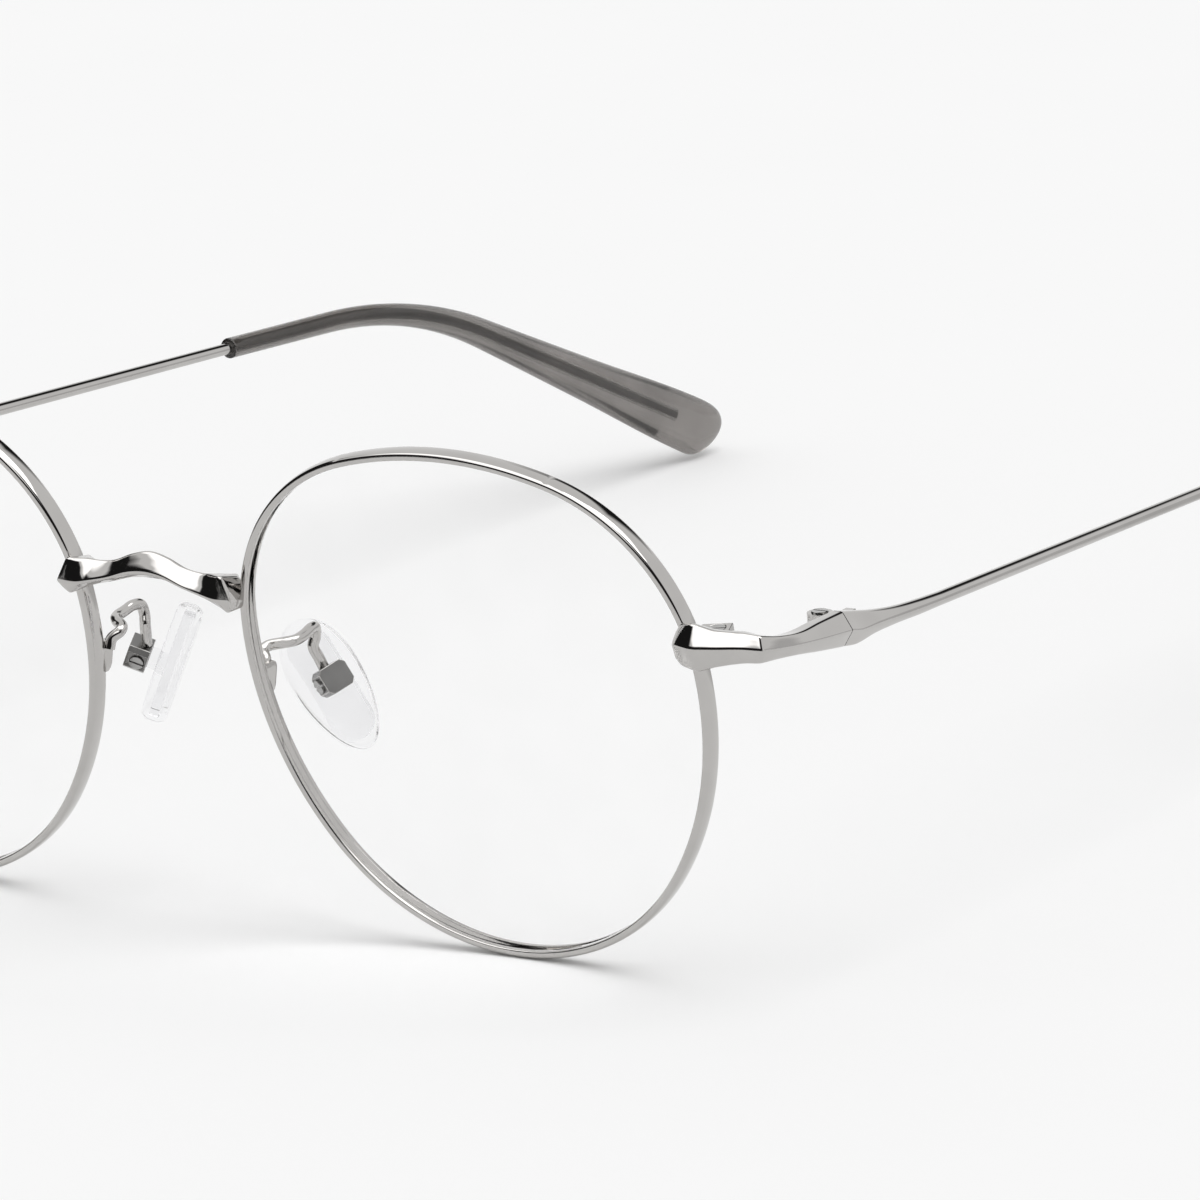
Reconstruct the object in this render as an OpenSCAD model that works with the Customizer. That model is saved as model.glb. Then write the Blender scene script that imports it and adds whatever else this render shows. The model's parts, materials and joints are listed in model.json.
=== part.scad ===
// Full-rim metal eyeglass frame with adjustable nose pads and folding temples.
// +X runs to the wearer's left, +Y back towards the ears, +Z up.
// The open frame stands on the bottoms of its rims and on its two temple tips.

/* [Rims] */
// Width of a rim, measured to the middle of its wire
rim_w = 48.35; // [47.8:0.05:49]
// Radius of a rim's sides less the radius of its upper corners
rim_corner_step = 12.8125; // [12.3125:0.0625:13.3125]
// Radius of a rim's top less the radius of its upper corners
rim_top_step = 20.8; // [19.8:0.1:21.8]
// Thickness of the rim wire, seen from the front
rim_t = 0.8; // [0.7:0.05:0.95]
// Depth of the rim wire, front to back
rim_d = 1.8; // [1.6:0.05:2]
// Bevel along the rim wire's outer edges
rim_edge = 0.18; // [0.1:0.02:0.22]
// Forward lean of the rims' tops
rim_tilt = 9.3; // [7:0.1:11]
// Turn of each rim around the face
rim_wrap = 1.4; // [0:0.1:4]
// Clear distance between the two rims' wires at their widest line
rim_gap = 17.05; // [16:0.05:18.5]

/* [Lenses] */
// Depth of the groove inside the rim
groove_depth = 0.35; // [0.25:0.05:0.4]
// Width of the groove's mouth
groove_w = 0.8; // [0.6:0.05:1]
// Thickness of a lens
lens_t = 1.2; // [1:0.05:1.5]
// Radius of a lens's front surface
lens_curve_r = 130; // [110:1:160]
// Clearance between a lens and its rim
lens_clearance = 0.03; // [0.02:0.01:0.05]

/* [Bridge] */
// Length of the bridge from end face to end face
bridge_w = 19.7; // [19:0.05:20.4]
// Height of the bridge's front crease at its ends, above the rims' widest line
bridge_z = 4.4; // [3.8:0.1:5]
// Distance from the rims' middle plane forward to the crease at the ends
bridge_reach = 4.4; // [4.2:0.05:4.8]
// Rise of the crease from the ends to the middle
bridge_rise = 2; // [1.4:0.1:2.4]
// Height of the hump above the crease
bridge_hump = 1.25; // [1:0.05:1.6]
// Setback of the crease in the middle
bridge_setback = 0.75; // [0.5:0.05:1.1]
// Thickness of the bridge bar, front to back
bridge_t = 1.3; // [1.1:0.05:1.6]

/* [End pieces] */
// Distance from the middle plane to the end pieces' inner ends
endpiece_x = 55.7; // [55.2:0.05:56.2]
// Distance from the middle plane to the end pieces' corners
corner_x = 64.3; // [63.8:0.05:64.8]
// Height of the front crease above the rims' widest line
endpiece_z = 4.9; // [4.5:0.1:5.3]
// Reach of an end piece's front face ahead of the rims' middle plane
endpiece_reach = 3.05; // [2.95:0.05:3.3]
// Thickness of an end piece
endpiece_t = 2.05; // [1.9:0.05:2.2]
// Height of an end piece at the hinge seam
seam_h = 3.2; // [2.9:0.05:3.5]
// Outward stand of the ridge at the hinge seam
seam_ridge = 1; // [0.7:0.05:1.2]

/* [Rim locks] */
// Height of one half of a rim lock, along the rim
lock_h = 1.15; // [1.1:0.05:1.3]
// Width of a rim lock, outward from the rim
lock_w = 3; // [2.8:0.05:3.2]
// Depth of a rim lock
lock_d = 2; // [1.9:0.05:2.1]
// Sweep of a rim lock back from its rim's plane
lock_sweep = 20; // [16:1:24]
// Slit between a rim's two ends and between the two lock halves
lock_slit = 0.12; // [0.08:0.02:0.2]
// Radius of a lock screw's shank
lock_screw_r = 0.5; // [0.4:0.05:0.6]

/* [Hinges] */
// Distance from the middle plane to a temple's wire at the hinge
temple_x = 64.3; // [63.9:0.05:64.7]
// Distance of the hinge seam behind the rims' middle plane
hinge_y = 12.6; // [12.2:0.05:13]
// Height of the temple's wire at the hinge, above the rims' widest line
hinge_z = 3.0; // [2.6:0.1:3.4]
// Inward offset of the hinge pin from the temple's wire
hinge_in = 2.9; // [2.85:0.05:3.1]
// Radius of the hinge knuckles
knuckle_r = 1.15; // [1.1:0.05:1.2]
// Height of the temple's knuckle
knuckle_h = 1.1; // [1:0.05:1.2]
// Height of each of the two front knuckles
ear_h = 0.8; // [0.75:0.05:0.85]
// Radius of a hinge pin
pin_r = 0.5; // [0.4:0.05:0.55]
// Running clearance of a hinge pin in the temple's knuckle
pin_clearance = 0.02; // [0.02:0.01:0.05]
// Running clearance between knuckle faces, and at the hinge seam
knuckle_clearance = 0.03; // [0.02:0.01:0.06]
// Length of a hinge leaf from the pin
leaf_l = 3.6; // [3.2:0.1:4]
// Depth that a hinge leaf is let into its arm
leaf_seat = 0.3; // [0.2:0.05:0.35]

/* [Temples] */
// Radius of the temple wire behind its flare
wire_r = 0.64; // [0.58:0.01:0.7]
// Radius of the temple wire where the tip slides on
wire_end_r = 0.56; // [0.5:0.01:0.6]
// Length of the flared start of a temple
flare_l = 15.5; // [13:0.5:18]
// Length from the hinge to the point of the ear bend
temple_straight = 101.2; // [98:0.1:104]
// Length from the point of the ear bend to the end of the tip
temple_tail = 51.7; // [49:0.5:56]
// Inward splay of the temples
temple_splay = 4.1; // [3:0.1:5]
// Fall of the temple's straight part
temple_fall = 2.8; // [2:0.1:3.4]
// Further fall of the tail behind the ear bend
ear_bend = 25; // [24:0.1:27]
// Radius of the ear bend
bend_r = 55; // [46:1:64]

/* [Temple tips] */
// Distance from the hinge to the tip's mouth
tip_start = 74.4; // [68:0.1:78]
// Radius of the tip at its mouth
tip_mouth_r = 1; // [0.95:0.05:1.2]
// Height of the tip's blade near its end
tip_blade_h = 5.8; // [5.3:0.1:6.3]
// Thickness of the tip's blade
tip_blade_t = 2.7; // [2.3:0.1:3]
// Length of plastic beyond the end of the wire
tip_cover = 8; // [6:0.5:10]
// Clearance between the wire and the tip's bore
tip_clearance = 0.03; // [0.02:0.01:0.06]

/* [Nose pads] */
// Distance from the middle plane to a pad's centre
pad_x = 8.95; // [8.6:0.05:9.4]
// Distance of a pad's centre behind the rims' middle plane
pad_y = 10.55; // [10.2:0.05:10.9]
// Height of a pad's centre below the rims' widest line
pad_drop = 7.1; // [6.8:0.1:7.4]
// Length of a pad
pad_l = 13.2; // [12.5:0.1:14]
// Width of a pad
pad_w = 6.6; // [6:0.1:7.4]
// Thickness of a pad
pad_t = 2.4; // [2.1:0.1:2.7]
// Angle of a pad from upright, seen from the front
pad_frontal = 26; // [22:1:30]
// Angle of a pad from square, seen from above
pad_splay = 27; // [23:1:31]
// Turn of a pad about its own face
pad_turn = 8; // [3:0.2:10]
// Thickness of the hard core inside a pad
core_t = 0.8; // [0.7:0.05:1]
// Thickness of the core's lug
lug_t = 1.2; // [1:0.05:1.3]
// Height of the core's lug
lug_h = 1.6; // [1.5:0.05:1.7]
// Side clearance of the lug in its box
lug_clearance = 0.05; // [0.04:0.01:0.08]

/* [Pad arms] */
// Radius of the pad arm's wire
arm_r = 0.52; // [0.45:0.01:0.55]
// Length of the foot that carries the wire, along the rim
foot_l = 2.8; // [2.6:0.1:3]
// Length of the pad box along the pad
box_l = 2.5; // [2.4:0.1:3]
// Width of the pad box along its screw
box_w = 2.9; // [2.7:0.1:3.2]
// Depth of the pad box
box_d = 2; // [1.9:0.05:2.3]
// Distance from a pad's centre out to the box's screw
box_reach = 2.95; // [2.85:0.05:3.1]
// Distance of the box above the pad's centre, along the pad
box_up = 0.5; // [0:0.05:0.9]
// Distance of the box ahead of the pad's middle line
box_ahead = 0.85; // [0:0.05:1]
// Radius of a pad screw's shank
pad_screw_r = 0.4; // [0.35:0.05:0.45]
// Radius of a pad screw's head
pad_head_r = 0.65; // [0.55:0.05:0.75]

/* [Hidden] */

steel = [0.66, 0.66, 0.67];
dark_steel = [0.5, 0.5, 0.52];
clear = [0.9, 0.93, 0.95, 0.3];
silicone = [0.93, 0.94, 0.95, 0.6];
smoke = [0.48, 0.45, 0.43, 0.85];
$fn = 64;

// The rim's outline is six tangent arcs. Neighbours meet on these directions,
// whose parts are short fractions, so that their ends meet exactly.
top_dir = [0.28, 0.96];
side_dir = [0.99712, 0.07584];
low_dir = [0.8, -0.6];
low_step = (rim_corner_step * side_dir[0] - rim_top_step * top_dir[0]) / low_dir[0];
side_cx = -low_step * low_dir[0];
side_r = rim_w / 2 - side_cx;
corner_r = side_r - rim_corner_step;
corner_cx = rim_top_step * top_dir[0];
corner_cy = rim_corner_step * side_dir[1];
top_r = corner_r + rim_top_step;
top_cy = corner_cy - rim_top_step * top_dir[1];
bottom_r = side_r - low_step;
bottom_cy = low_step * low_dir[1];
function flip(v) = [-v[0], v[1]];
function bearing(v) = atan2(v[1], v[0]);

// Each arc: centre, radius, first direction, last direction
ARCS = [
    [[0, top_cy], top_r, top_dir, flip(top_dir)],
    [[corner_cx, corner_cy], corner_r, side_dir, top_dir],
    [[side_cx, 0], side_r, low_dir, side_dir],
    [[0, bottom_cy], bottom_r, flip(low_dir), low_dir],
    [[-side_cx, 0], side_r, flip(side_dir), flip(low_dir)],
    [[-corner_cx, corner_cy], corner_r, flip(top_dir), flip(side_dir)]];

// Each rim stands with its outer lower edge on the ground.
rim_x = rim_gap / 2 + rim_t / 2 + rim_w / 2;
rim_low = bottom_r - bottom_cy + rim_t / 2;
rim_z = rim_low * cos(rim_tilt) + (rim_d / 2 - rim_edge) * sin(rim_tilt);
seam_z = rim_z + hinge_z;
temple_end = temple_straight + temple_tail * cos(temple_fall + ear_bend) / cos(temple_fall);

// The model's middle lies between the bridge's crease and the temple tips.
shift_y = (bridge_reach - hinge_y - temple_end * cos(temple_fall) * cos(temple_splay)) / 2;

// Height of the rim lock's slit in the rim's own frame, and the rim's outside there
lock_v = endpiece_z - 0.15;
lock_seat_r = corner_cx + sqrt(pow(corner_r + rim_t / 2, 2) - pow(lock_v - corner_cy, 2));
lock_screw_x = lock_w * 0.57;
lock_head_h = 0.35;

// Heights at the hinge, above the seam's middle
pin_x = -hinge_in;
stack_h = knuckle_h + 2 * ear_h + 2 * knuckle_clearance;
mid_z = 0.4;
leaf_h = stack_h - 1;

function rot2(p, a) = [p[0] * cos(a) - p[1] * sin(a), p[0] * sin(a) + p[1] * cos(a)];
function mix(a, b, t) = a * (1 - t) + b * t;

// Value at x on a smooth curve through [x, value] pairs in rising order
function slope(k, i) =
    i <= 0 || i >= len(k) - 1 ? 0 : (k[i + 1][1] - k[i - 1][1]) / (k[i + 1][0] - k[i - 1][0]);
function curve(x, k, i = 0) =
    i < len(k) - 2 && x > k[i + 1][0] ? curve(x, k, i + 1)
    : let (w = k[i + 1][0] - k[i][0], t = min(1, max(0, (x - k[i][0]) / w)), e = t * t * (3 - 2 * t))
    mix(k[i][1], k[i + 1][1], e) + w * t * (1 - t) * ((1 - t) * slope(k, i) - t * slope(k, i + 1));

// Sixteen-point section with a ridge at its outer side: up and dn are its
// heights over and under the ridge, it and ib how far its upper and lower
// outer edges stand in from the ridge, th its thickness, c its bevels, and
// tb how far its top falls towards the back.
function roof(up, dn, it, ib, th, c, tb = 0) = [
    [0, 0], [-it / 2, (up - c) / 2], [-it, up - c], [-it - c, up],
    [-(it + th) / 2, up - tb * 0.4], [c - th, up - tb], [-th, up - c - tb], [-th, (up - c - tb) / 2],
    [-th, 0], [-th, (c - dn) / 2], [-th, c - dn], [c - th, -dn],
    [-(ib + th) / 2, -dn], [-ib - c, -dn], [-ib, c - dn], [-ib / 2, (c - dn) / 2]];

// Sixteen-point ellipse whose outer side touches the section's origin
function oval(rx, rz) = [for (k = [0:15]) [rx * (cos(22.5 * k) - 1), rz * sin(22.5 * k)]];

// A section set at point o, with its outward side towards plan angle a
function set_ring(s, o, a) = [for (p = s) [o[0] + p[0] * cos(a), o[1] + p[0] * sin(a), o[2] + p[1]]];

// Closed skin through rings with the same number of points
module loft(rings) {
    n = len(rings[0]);
    m = len(rings);
    points = [for (r = rings) each r];
    sides = [for (i = [0:m - 2], j = [0:n - 1]) each [
        [i * n + j, i * n + (j + 1) % n, (i + 1) * n + (j + 1) % n],
        [i * n + j, (i + 1) * n + (j + 1) % n, (i + 1) * n + j]]];
    first = [for (j = [n - 1:-1:0]) j];
    last = [for (j = [0:n - 1]) (m - 1) * n + j];
    polyhedron(points, concat([first], sides, [last]));
}

// Catmull-Rom point between p[i] and p[i + 1]
function knot(p, i) = p[max(0, min(len(p) - 1, i))];
function spline(p, i, t) =
    let (a = knot(p, i - 1), b = knot(p, i), c = knot(p, i + 1), d = knot(p, i + 2))
    0.5 * (2 * b + (c - a) * t + (2 * a - 5 * b + 4 * c - d) * t * t
        + (3 * b - a - 3 * c + d) * t * t * t);
function smooth_path(p, n) = concat(
    [for (i = [0:len(p) - 2], k = [0:n - 1]) spline(p, i, k / n)], [p[len(p) - 1]]);
function unit(v) = v / norm(v);

// Frames carried along a path without twist
function carry(p, i, u) =
    let (t = unit(p[min(len(p) - 1, i + 1)] - p[max(0, i - 1)]), w = unit(u - t * (u * t)))
    i == len(p) - 1 ? [[t, w]] : concat([[t, w]], carry(p, i + 1, w));

// Round bar of radius r along a path
module bar(p, r, sides = 12) {
    f = carry(p, 0, [0, 1, 0.2]);
    loft([for (i = [0:len(p) - 1])
        let (w = f[i][1], v = cross(f[i][0], w))
        [for (k = [0:sides - 1]) p[i] + r * (cos(360 * k / sides) * v + sin(360 * k / sides) * w)]]);
}

// Places: the model's own frame, one rim's plane, and the hinge
module to_model() translate([0, shift_y, 0]) children();
module left_side() to_model() children();
module right_side() to_model() mirror([1, 0, 0]) children();
module at_rim() translate([rim_x, 0, rim_z]) rotate([rim_tilt + 90, 0, rim_wrap]) children();
module at_hinge() translate([temple_x, hinge_y, seam_z]) rotate([0, 0, temple_splay]) children();

// A section swept around the rim's outline; x = 0 in it is the wire's middle
module around_rim() {
    for (a = ARCS)
        translate([a[0][0], a[0][1], 0]) intersection() {
            start = bearing(a[2]) - 1;
            turn = (bearing(a[3]) - bearing(a[2]) + 360) % 360;
            rotate_extrude(angle = turn + 2, start = start) translate([a[1], 0]) children();
            translate([0, 0, -5]) linear_extrude(10) wedge(a);
        }
}

// The sector between an arc's two end directions
module wedge(a) {
    far = 10 * ceil(rim_w / 8);
    polygon([[0, 0], far * a[2], far * (a[2] + a[3]), far * a[3]]);
}

module rim_section() {
    x = rim_t / 2;
    y = rim_d / 2;
    polygon([[-x, -y + rim_edge], [-x + rim_edge, -y], [x - rim_edge, -y], [x, -y + rim_edge],
        [x, y - rim_edge], [x - rim_edge, y], [-x + rim_edge, y], [-x, y - rim_edge],
        [-x, groove_w / 2], [-x + groove_depth, 0], [-x, -groove_w / 2]]);
}

// The rim's full wire without its bevels, for cutting seats
module rim_wire_space() around_rim() square([rim_t, rim_d], center = true);

// The rim lock's place: at the rim's outside, level with its slit
module at_lock() translate([lock_seat_r, lock_v, 0]) rotate([0, lock_sweep, 0]) children();

module rim_half() {
    at_rim() difference() {
        around_rim() rim_section();
        translate([lock_seat_r - 3, lock_v - lock_slit / 2, -rim_d]) cube([6, lock_slit, 2 * rim_d]);
    }
}

module lens_outline(inset) {
    for (a = ARCS)
        translate(a[0]) intersection() {
            circle(r = a[1] - inset, $fn = 128);
            wedge(a);
        }
}

module lens_half() {
    inset = rim_t / 2 + lens_clearance;
    middle = [0, -3.5];
    edge_r = rim_w / 2;
    sag = lens_curve_r - sqrt(lens_curve_r * lens_curve_r - edge_r * edge_r);
    ball_z = sag + lens_t / 2 - lens_curve_r;
    at_rim() {
        intersection() {
            translate([0, 0, -5 * lens_t]) linear_extrude(10 * lens_t) lens_outline(inset);
            difference() {
                translate([middle[0], middle[1], ball_z]) sphere(r = lens_curve_r, $fn = 200);
                translate([middle[0], middle[1], ball_z]) sphere(r = lens_curve_r - lens_t, $fn = 200);
            }
        }
        around_rim() polygon([[-inset - 0.3, groove_w / 2 - 0.02], [-inset, groove_w / 2 - 0.02],
            [-inset + groove_depth - 0.03, 0], [-inset, 0.02 - groove_w / 2],
            [-inset - 0.3, 0.02 - groove_w / 2]]);
    }
}

// Bridge: stations out from the middle, as fractions of its half width
function bridge_ring(x) =
    let (h = bridge_w / 2, f = abs(x) / h,
        rise = curve(f, [[0, 1], [0.2, 0.9], [0.41, 0.6], [0.66, 0.3], [0.84, 0.05], [1, 0]]),
        crease = rim_z + bridge_z + bridge_rise * rise,
        front = -bridge_reach + bridge_setback * curve(f, [[0, 1], [0.5, 0.8], [0.9, 0], [1, 0]]),
        top = [[0, bridge_hump], [0.2, 1.05], [0.41, 0.85], [0.58, 1.05], [0.74, 1.6], [0.88, 2], [1, 2]],
        up = curve(f, top),
        dn = curve(f, [[0, 1.15], [0.41, 1], [0.82, 1.1], [0.95, 1.35], [1, 1]]),
        lean = curve(f, [[0.75, 0], [1, 0.5]]),
        foot = curve(f, [[0, 0], [0.6, 0], [0.86, 2], [1, 1.4]]),
        it = curve(f, [[0, 0.5], [0.6, 0.4], [1, 0.15]]),
        ib = curve(f, [[0, 0.6], [0.6, 0.6], [1, 0.7]]),
        tb = curve(f, [[0, 0.5], [0.6, 0.35], [0.9, 0.9], [1, 0.9]]))
    [for (p = roof(up, dn, it, ib, bridge_t + foot, 0.2, tb))
        [x * (1 - lean * abs(p[1]) / h), front - p[0], crease + p[1]]];

module bridge() {
    stations = [-0.985, -0.95, -0.9, -0.82, -0.74, -0.64, -0.54, -0.44, -0.34, -0.24, -0.12];
    half = [for (s = stations) s * bridge_w / 2];
    all = concat(half, [0], [for (i = [len(half) - 1:-1:0]) -half[i]]);
    color(steel) to_model() difference() {
        loft([for (x = all) bridge_ring(x)]);
        at_rim() rim_wire_space();
        mirror([1, 0, 0]) at_rim() rim_wire_space();
    }
}

// End piece: ridge point, plan angle of its outward side, then its section
seam_out = temple_splay;
seam_tip = [temple_x + 0.35 * cos(seam_out), hinge_y + 0.35 * sin(seam_out), seam_z + mid_z];
corner_y = -0.5;
endpiece_rings =
    let (z = rim_z + endpiece_z, t = endpiece_t, a = 18.6, b = 52, k = seam_h / 2,
        tilt = seam_tip[1] - corner_y, fall = z - seam_tip[2])
    [
        set_ring(roof(1.2, 1.5, 0.1, 0.4, t - 1.1, 0.2, 0.2),
            [endpiece_x, -endpiece_reach + 1.05, z], -110),
        set_ring(roof(1.8, 1.95, 0.1, 0.7, t - 0.6, 0.25, 0.4),
            [endpiece_x + 0.5, -endpiece_reach + 0.7, z], -104),
        set_ring(roof(2.15, 2.25, 0.1, 1.1, t, 0.3, 0.7),
            [endpiece_x + 2.4, -endpiece_reach, z], -84),
        set_ring(roof(2, 2.2, 0.1, 1.1, t, 0.3, 0.7),
            [endpiece_x + 3.2, -endpiece_reach + 0.25, z], a - 90),
        set_ring(roof(1.6, 1.8, 0.1, 1, t, 0.22, 0.6),
            [endpiece_x + 4.6, -endpiece_reach + 0.75, z], a - 90),
        set_ring(roof(1.4, 1.45, 0.1, 0.8, t, 0.2, 0.55),
            [corner_x - 2, corner_y - 0.7, z - 0.05], a - 90),
        set_ring(roof(1.3, 1.25, 0.1, 0.7, t * 1.2, 0.2, 0.5),
            [corner_x, corner_y, z - 0.15], b - 90),
        set_ring(roof(1.15, 1, 0.25, 0.5, t, 0.18, 0.3),
            [corner_x + 0.25, corner_y + tilt * 0.22, z - fall * 0.37], -3),
        set_ring(roof(1.05, 1.05, 0.4, 0.5, t, 0.18, 0.2),
            [corner_x + 0.4, corner_y + tilt * 0.45, z - fall * 0.57], 0),
        set_ring(roof(1.35, 1.3, seam_ridge * 0.7, seam_ridge * 0.7, t, 0.18, 0.1),
            [corner_x + 0.4, corner_y + tilt * 0.7, z - fall * 0.78], 2),
        set_ring(roof(k, k, seam_ridge, seam_ridge, t, 0.15), seam_tip, seam_out)];

endpiece_inner = 0.35 - endpiece_t;

module endpiece_half() {
    difference() {
        loft(endpiece_rings);
        at_rim() rim_wire_space();
        at_rim() at_lock() lock_space();
        at_hinge() hinge_seat(-1);
    }
}

// Seat that lets a leaf into the inner face of its arm
module hinge_seat(side) {
    h = leaf_h;
    y = side > 0 ? -1 : -leaf_l;
    translate([endpiece_inner - 3, y, mid_z - h / 2]) cube([3 + leaf_seat, leaf_l + 1, h]);
}

// Rim lock: two blocks on the rim's ends, drawn together by a screw
lock_z = 0.6 - lock_d;
lock_top = lock_h + lock_slit / 2;

module lock_space() translate([-0.7, -lock_top - 0.05, lock_z])
    cube([lock_w + 0.72, 2 * lock_top + 0.1, lock_d + 0.02]);

module lock_block(side) {
    difference() {
        at_lock() translate([-0.7, side > 0 ? lock_slit / 2 : -lock_top, lock_z])
            cube([lock_w + 0.7, lock_h, lock_d]);
        translate([corner_cx, corner_cy, -4]) cylinder(h = 8, r = corner_r + rim_t / 2, $fn = 128);
        at_lock() translate([lock_screw_x, 0, lock_z + lock_d / 2]) rotate([90, 0, 0])
            cylinder(h = 3 * lock_h, r = lock_screw_r + 0.03, center = true, $fn = 48);
        if (side > 0)
            at_lock() translate([lock_screw_x, lock_top - lock_head_h, lock_z + lock_d / 2])
                rotate([-90, 0, 0]) cylinder(h = 1, r = lock_screw_r + 0.33, $fn = 48);
    }
}

module lock_screw_half() {
    at_rim() at_lock() translate([lock_screw_x, 0, lock_z + lock_d / 2]) rotate([-90, 0, 0]) difference() {
        union() {
            translate([0, 0, 0.15 - lock_top])
                cylinder(h = 2 * lock_top - lock_head_h, r = lock_screw_r, $fn = 48);
            translate([0, 0, lock_top - lock_head_h])
                cylinder(h = lock_head_h, r = lock_screw_r + 0.3, $fn = 48);
        }
        translate([0, 0, lock_top]) cube([3, 0.18, 0.4], center = true);
    }
}

// Hinge: two knuckles on the front leaf, one on the temple's, and a screw
module knuckle(z, h) translate([pin_x, 0, mid_z + z]) cylinder(h = h, r = knuckle_r, $fn = 64);

lower_z = -stack_h / 2;
middle_z = -knuckle_h / 2;
upper_z = knuckle_h / 2 + knuckle_clearance;
leaf_out = endpiece_inner + leaf_seat - pin_x;

module leaf_plate(side, z, h, gap) {
    y0 = side > 0 ? gap : -leaf_l;
    translate([pin_x + knuckle_r - 0.6, y0, mid_z + z]) cube([leaf_out - knuckle_r + 0.6, leaf_l - gap, h]);
}

module hinge_front_half() {
    room = knuckle_r + 0.06;
    at_hinge() difference() {
        union() {
            knuckle(lower_z, ear_h);
            knuckle(upper_z, ear_h);
            for (z = [lower_z, upper_z])
                translate([pin_x, -knuckle_r, mid_z + z])
                    cube([leaf_out - leaf_seat - 0.1, knuckle_r, ear_h]);
            leaf_plate(-1, -leaf_h / 2, leaf_h, 0);
        }
        translate([pin_x, 0, mid_z + middle_z - knuckle_clearance])
            cylinder(h = knuckle_h + 2 * knuckle_clearance, r = room, $fn = 64);
        translate([pin_x, 0, mid_z - stack_h]) cylinder(h = 2 * stack_h, r = pin_r + 0.01, $fn = 48);
        translate([pin_x, 0, mid_z + stack_h / 2 - 0.35]) cylinder(h = 1, r = pin_r + 0.28, $fn = 48);
    }
}

module temple_knuckle_half() {
    room = knuckle_r + 0.06;
    at_hinge() difference() {
        union() {
            knuckle(middle_z, knuckle_h);
            translate([pin_x, knuckle_clearance, mid_z + middle_z])
                cube([leaf_out, knuckle_r, knuckle_h]);
            leaf_plate(1, -leaf_h / 2, leaf_h, knuckle_clearance);
        }
        for (z = [lower_z - 1, knuckle_h / 2 + 0.001])
            translate([pin_x, 0, mid_z + z])
                cylinder(h = ear_h + knuckle_clearance + 1, r = room, $fn = 64);
        translate([pin_x, 0, mid_z - stack_h])
            cylinder(h = 2 * stack_h, r = pin_r + pin_clearance, $fn = 48);
    }
}

module hinge_screw_half() {
    at_hinge() translate([pin_x, 0, mid_z]) difference() {
        union() {
            translate([0, 0, 0.1 - stack_h / 2]) cylinder(h = stack_h - 0.1, r = pin_r, $fn = 48);
            translate([0, 0, stack_h / 2 - 0.35]) cylinder(h = 0.5, r = pin_r + 0.25, $fn = 48);
        }
        translate([0, 0, stack_h / 2 + 0.15]) cube([3, 0.2, 0.5], center = true);
    }
}

// Temple: flared start, then a round wire that bends down inside the tip
fall_dir = [0, cos(temple_fall), -sin(temple_fall)];
flare_rings =
    let (k = seam_h / 2, t = endpiece_t, u = endpiece_inner + endpiece_t, r = wire_r, e = flare_l,
        s = -tan(temple_fall))
    [
        set_ring(roof(k, k, seam_ridge, seam_ridge, t, 0.15), [u, knuckle_clearance, mid_z], 0),
        set_ring(roof(k, 1.4, seam_ridge * 0.85, seam_ridge * 0.7, t * 0.96, 0.15),
            [u, e * 0.12, 0.1 + s * e * 0.12], 0),
        set_ring(mix(roof(1.2, 1, 0.7, 0.5, 1.75, 0.15), oval(0.8, 1), 0.3),
            [u + 0.05, e * 0.3, 0.1 + s * e * 0.3], 0),
        set_ring(mix(roof(0.9, 0.75, 0.5, 0.4, 1.5, 0.15), oval(0.7, 0.8), 0.6),
            [u + 0.15, e * 0.52, 0.05 + s * e * 0.52], 0),
        set_ring(mix(roof(0.75, 0.7, 0.4, 0.4, 1.35, 0.15), oval(0.67, 0.72), 0.85),
            [u + 0.24, e * 0.76, s * e * 0.76], 0),
        set_ring(oval(r / cos(11.25) + 0.04, r / cos(11.25) + 0.04),
            [r / cos(11.25) + 0.04, e, s * e], 0)];

bend_tan = bend_r * tan(ear_bend / 2);
straight_len = temple_straight / cos(temple_fall) - bend_tan;
wire_tail = temple_tail - bend_tan - tip_cover;

// Children placed at the start of the wire's line, running along +Z
module along_temple() rotate([-90 - temple_fall, 0, 0]) children();

module temple_wire() {
    start = flare_l / cos(temple_fall) - 0.15;
    sleeve = tip_start / cos(temple_fall) - 1;
    in_r = wire_end_r - 0.01;
    along_temple() {
        translate([0, 0, start]) cylinder(h = sleeve - start, r1 = wire_r, r2 = wire_end_r, $fn = 48);
        translate([0, 0, sleeve - 0.5]) cylinder(h = straight_len - sleeve + 1, r = in_r, $fn = 48);
        translate([0, bend_r, straight_len]) rotate([0, -90, 0])
            rotate_extrude(angle = ear_bend, start = -90, $fn = 96)
                translate([bend_r, 0]) circle(r = wire_end_r, $fn = 48);
        translate([0, bend_r, straight_len]) rotate([-ear_bend, 0, 0]) translate([0, -bend_r, -0.5])
            cylinder(h = wire_tail + 0.5, r = in_r, $fn = 48);
    }
}

module temple_half() {
    at_hinge() {
        difference() {
            loft(flare_rings);
            hinge_seat(1);
        }
        temple_wire();
    }
}

// Tip: a sleeve that follows the wire and widens into a blade.
// Position and direction at length s along the wire's line, in the hinge's frame
function line_at(s) =
    s <= straight_len ? [s * fall_dir, temple_fall]
    : let (a = min(ear_bend, (s - straight_len) / bend_r * 180 / PI),
        over = max(0, s - straight_len - bend_r * ear_bend * PI / 180),
        b = temple_fall + a, c = [0, -sin(temple_fall), -cos(temple_fall)] * bend_r)
    [straight_len * fall_dir + c + bend_r * [0, sin(b), cos(b)] + over * [0, cos(b), -sin(b)], b];

total_len = straight_len + bend_r * ear_bend * PI / 180 + temple_tail - bend_tan;
wire_len = total_len - tip_cover;
mouth_len = tip_start / cos(temple_fall);

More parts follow.
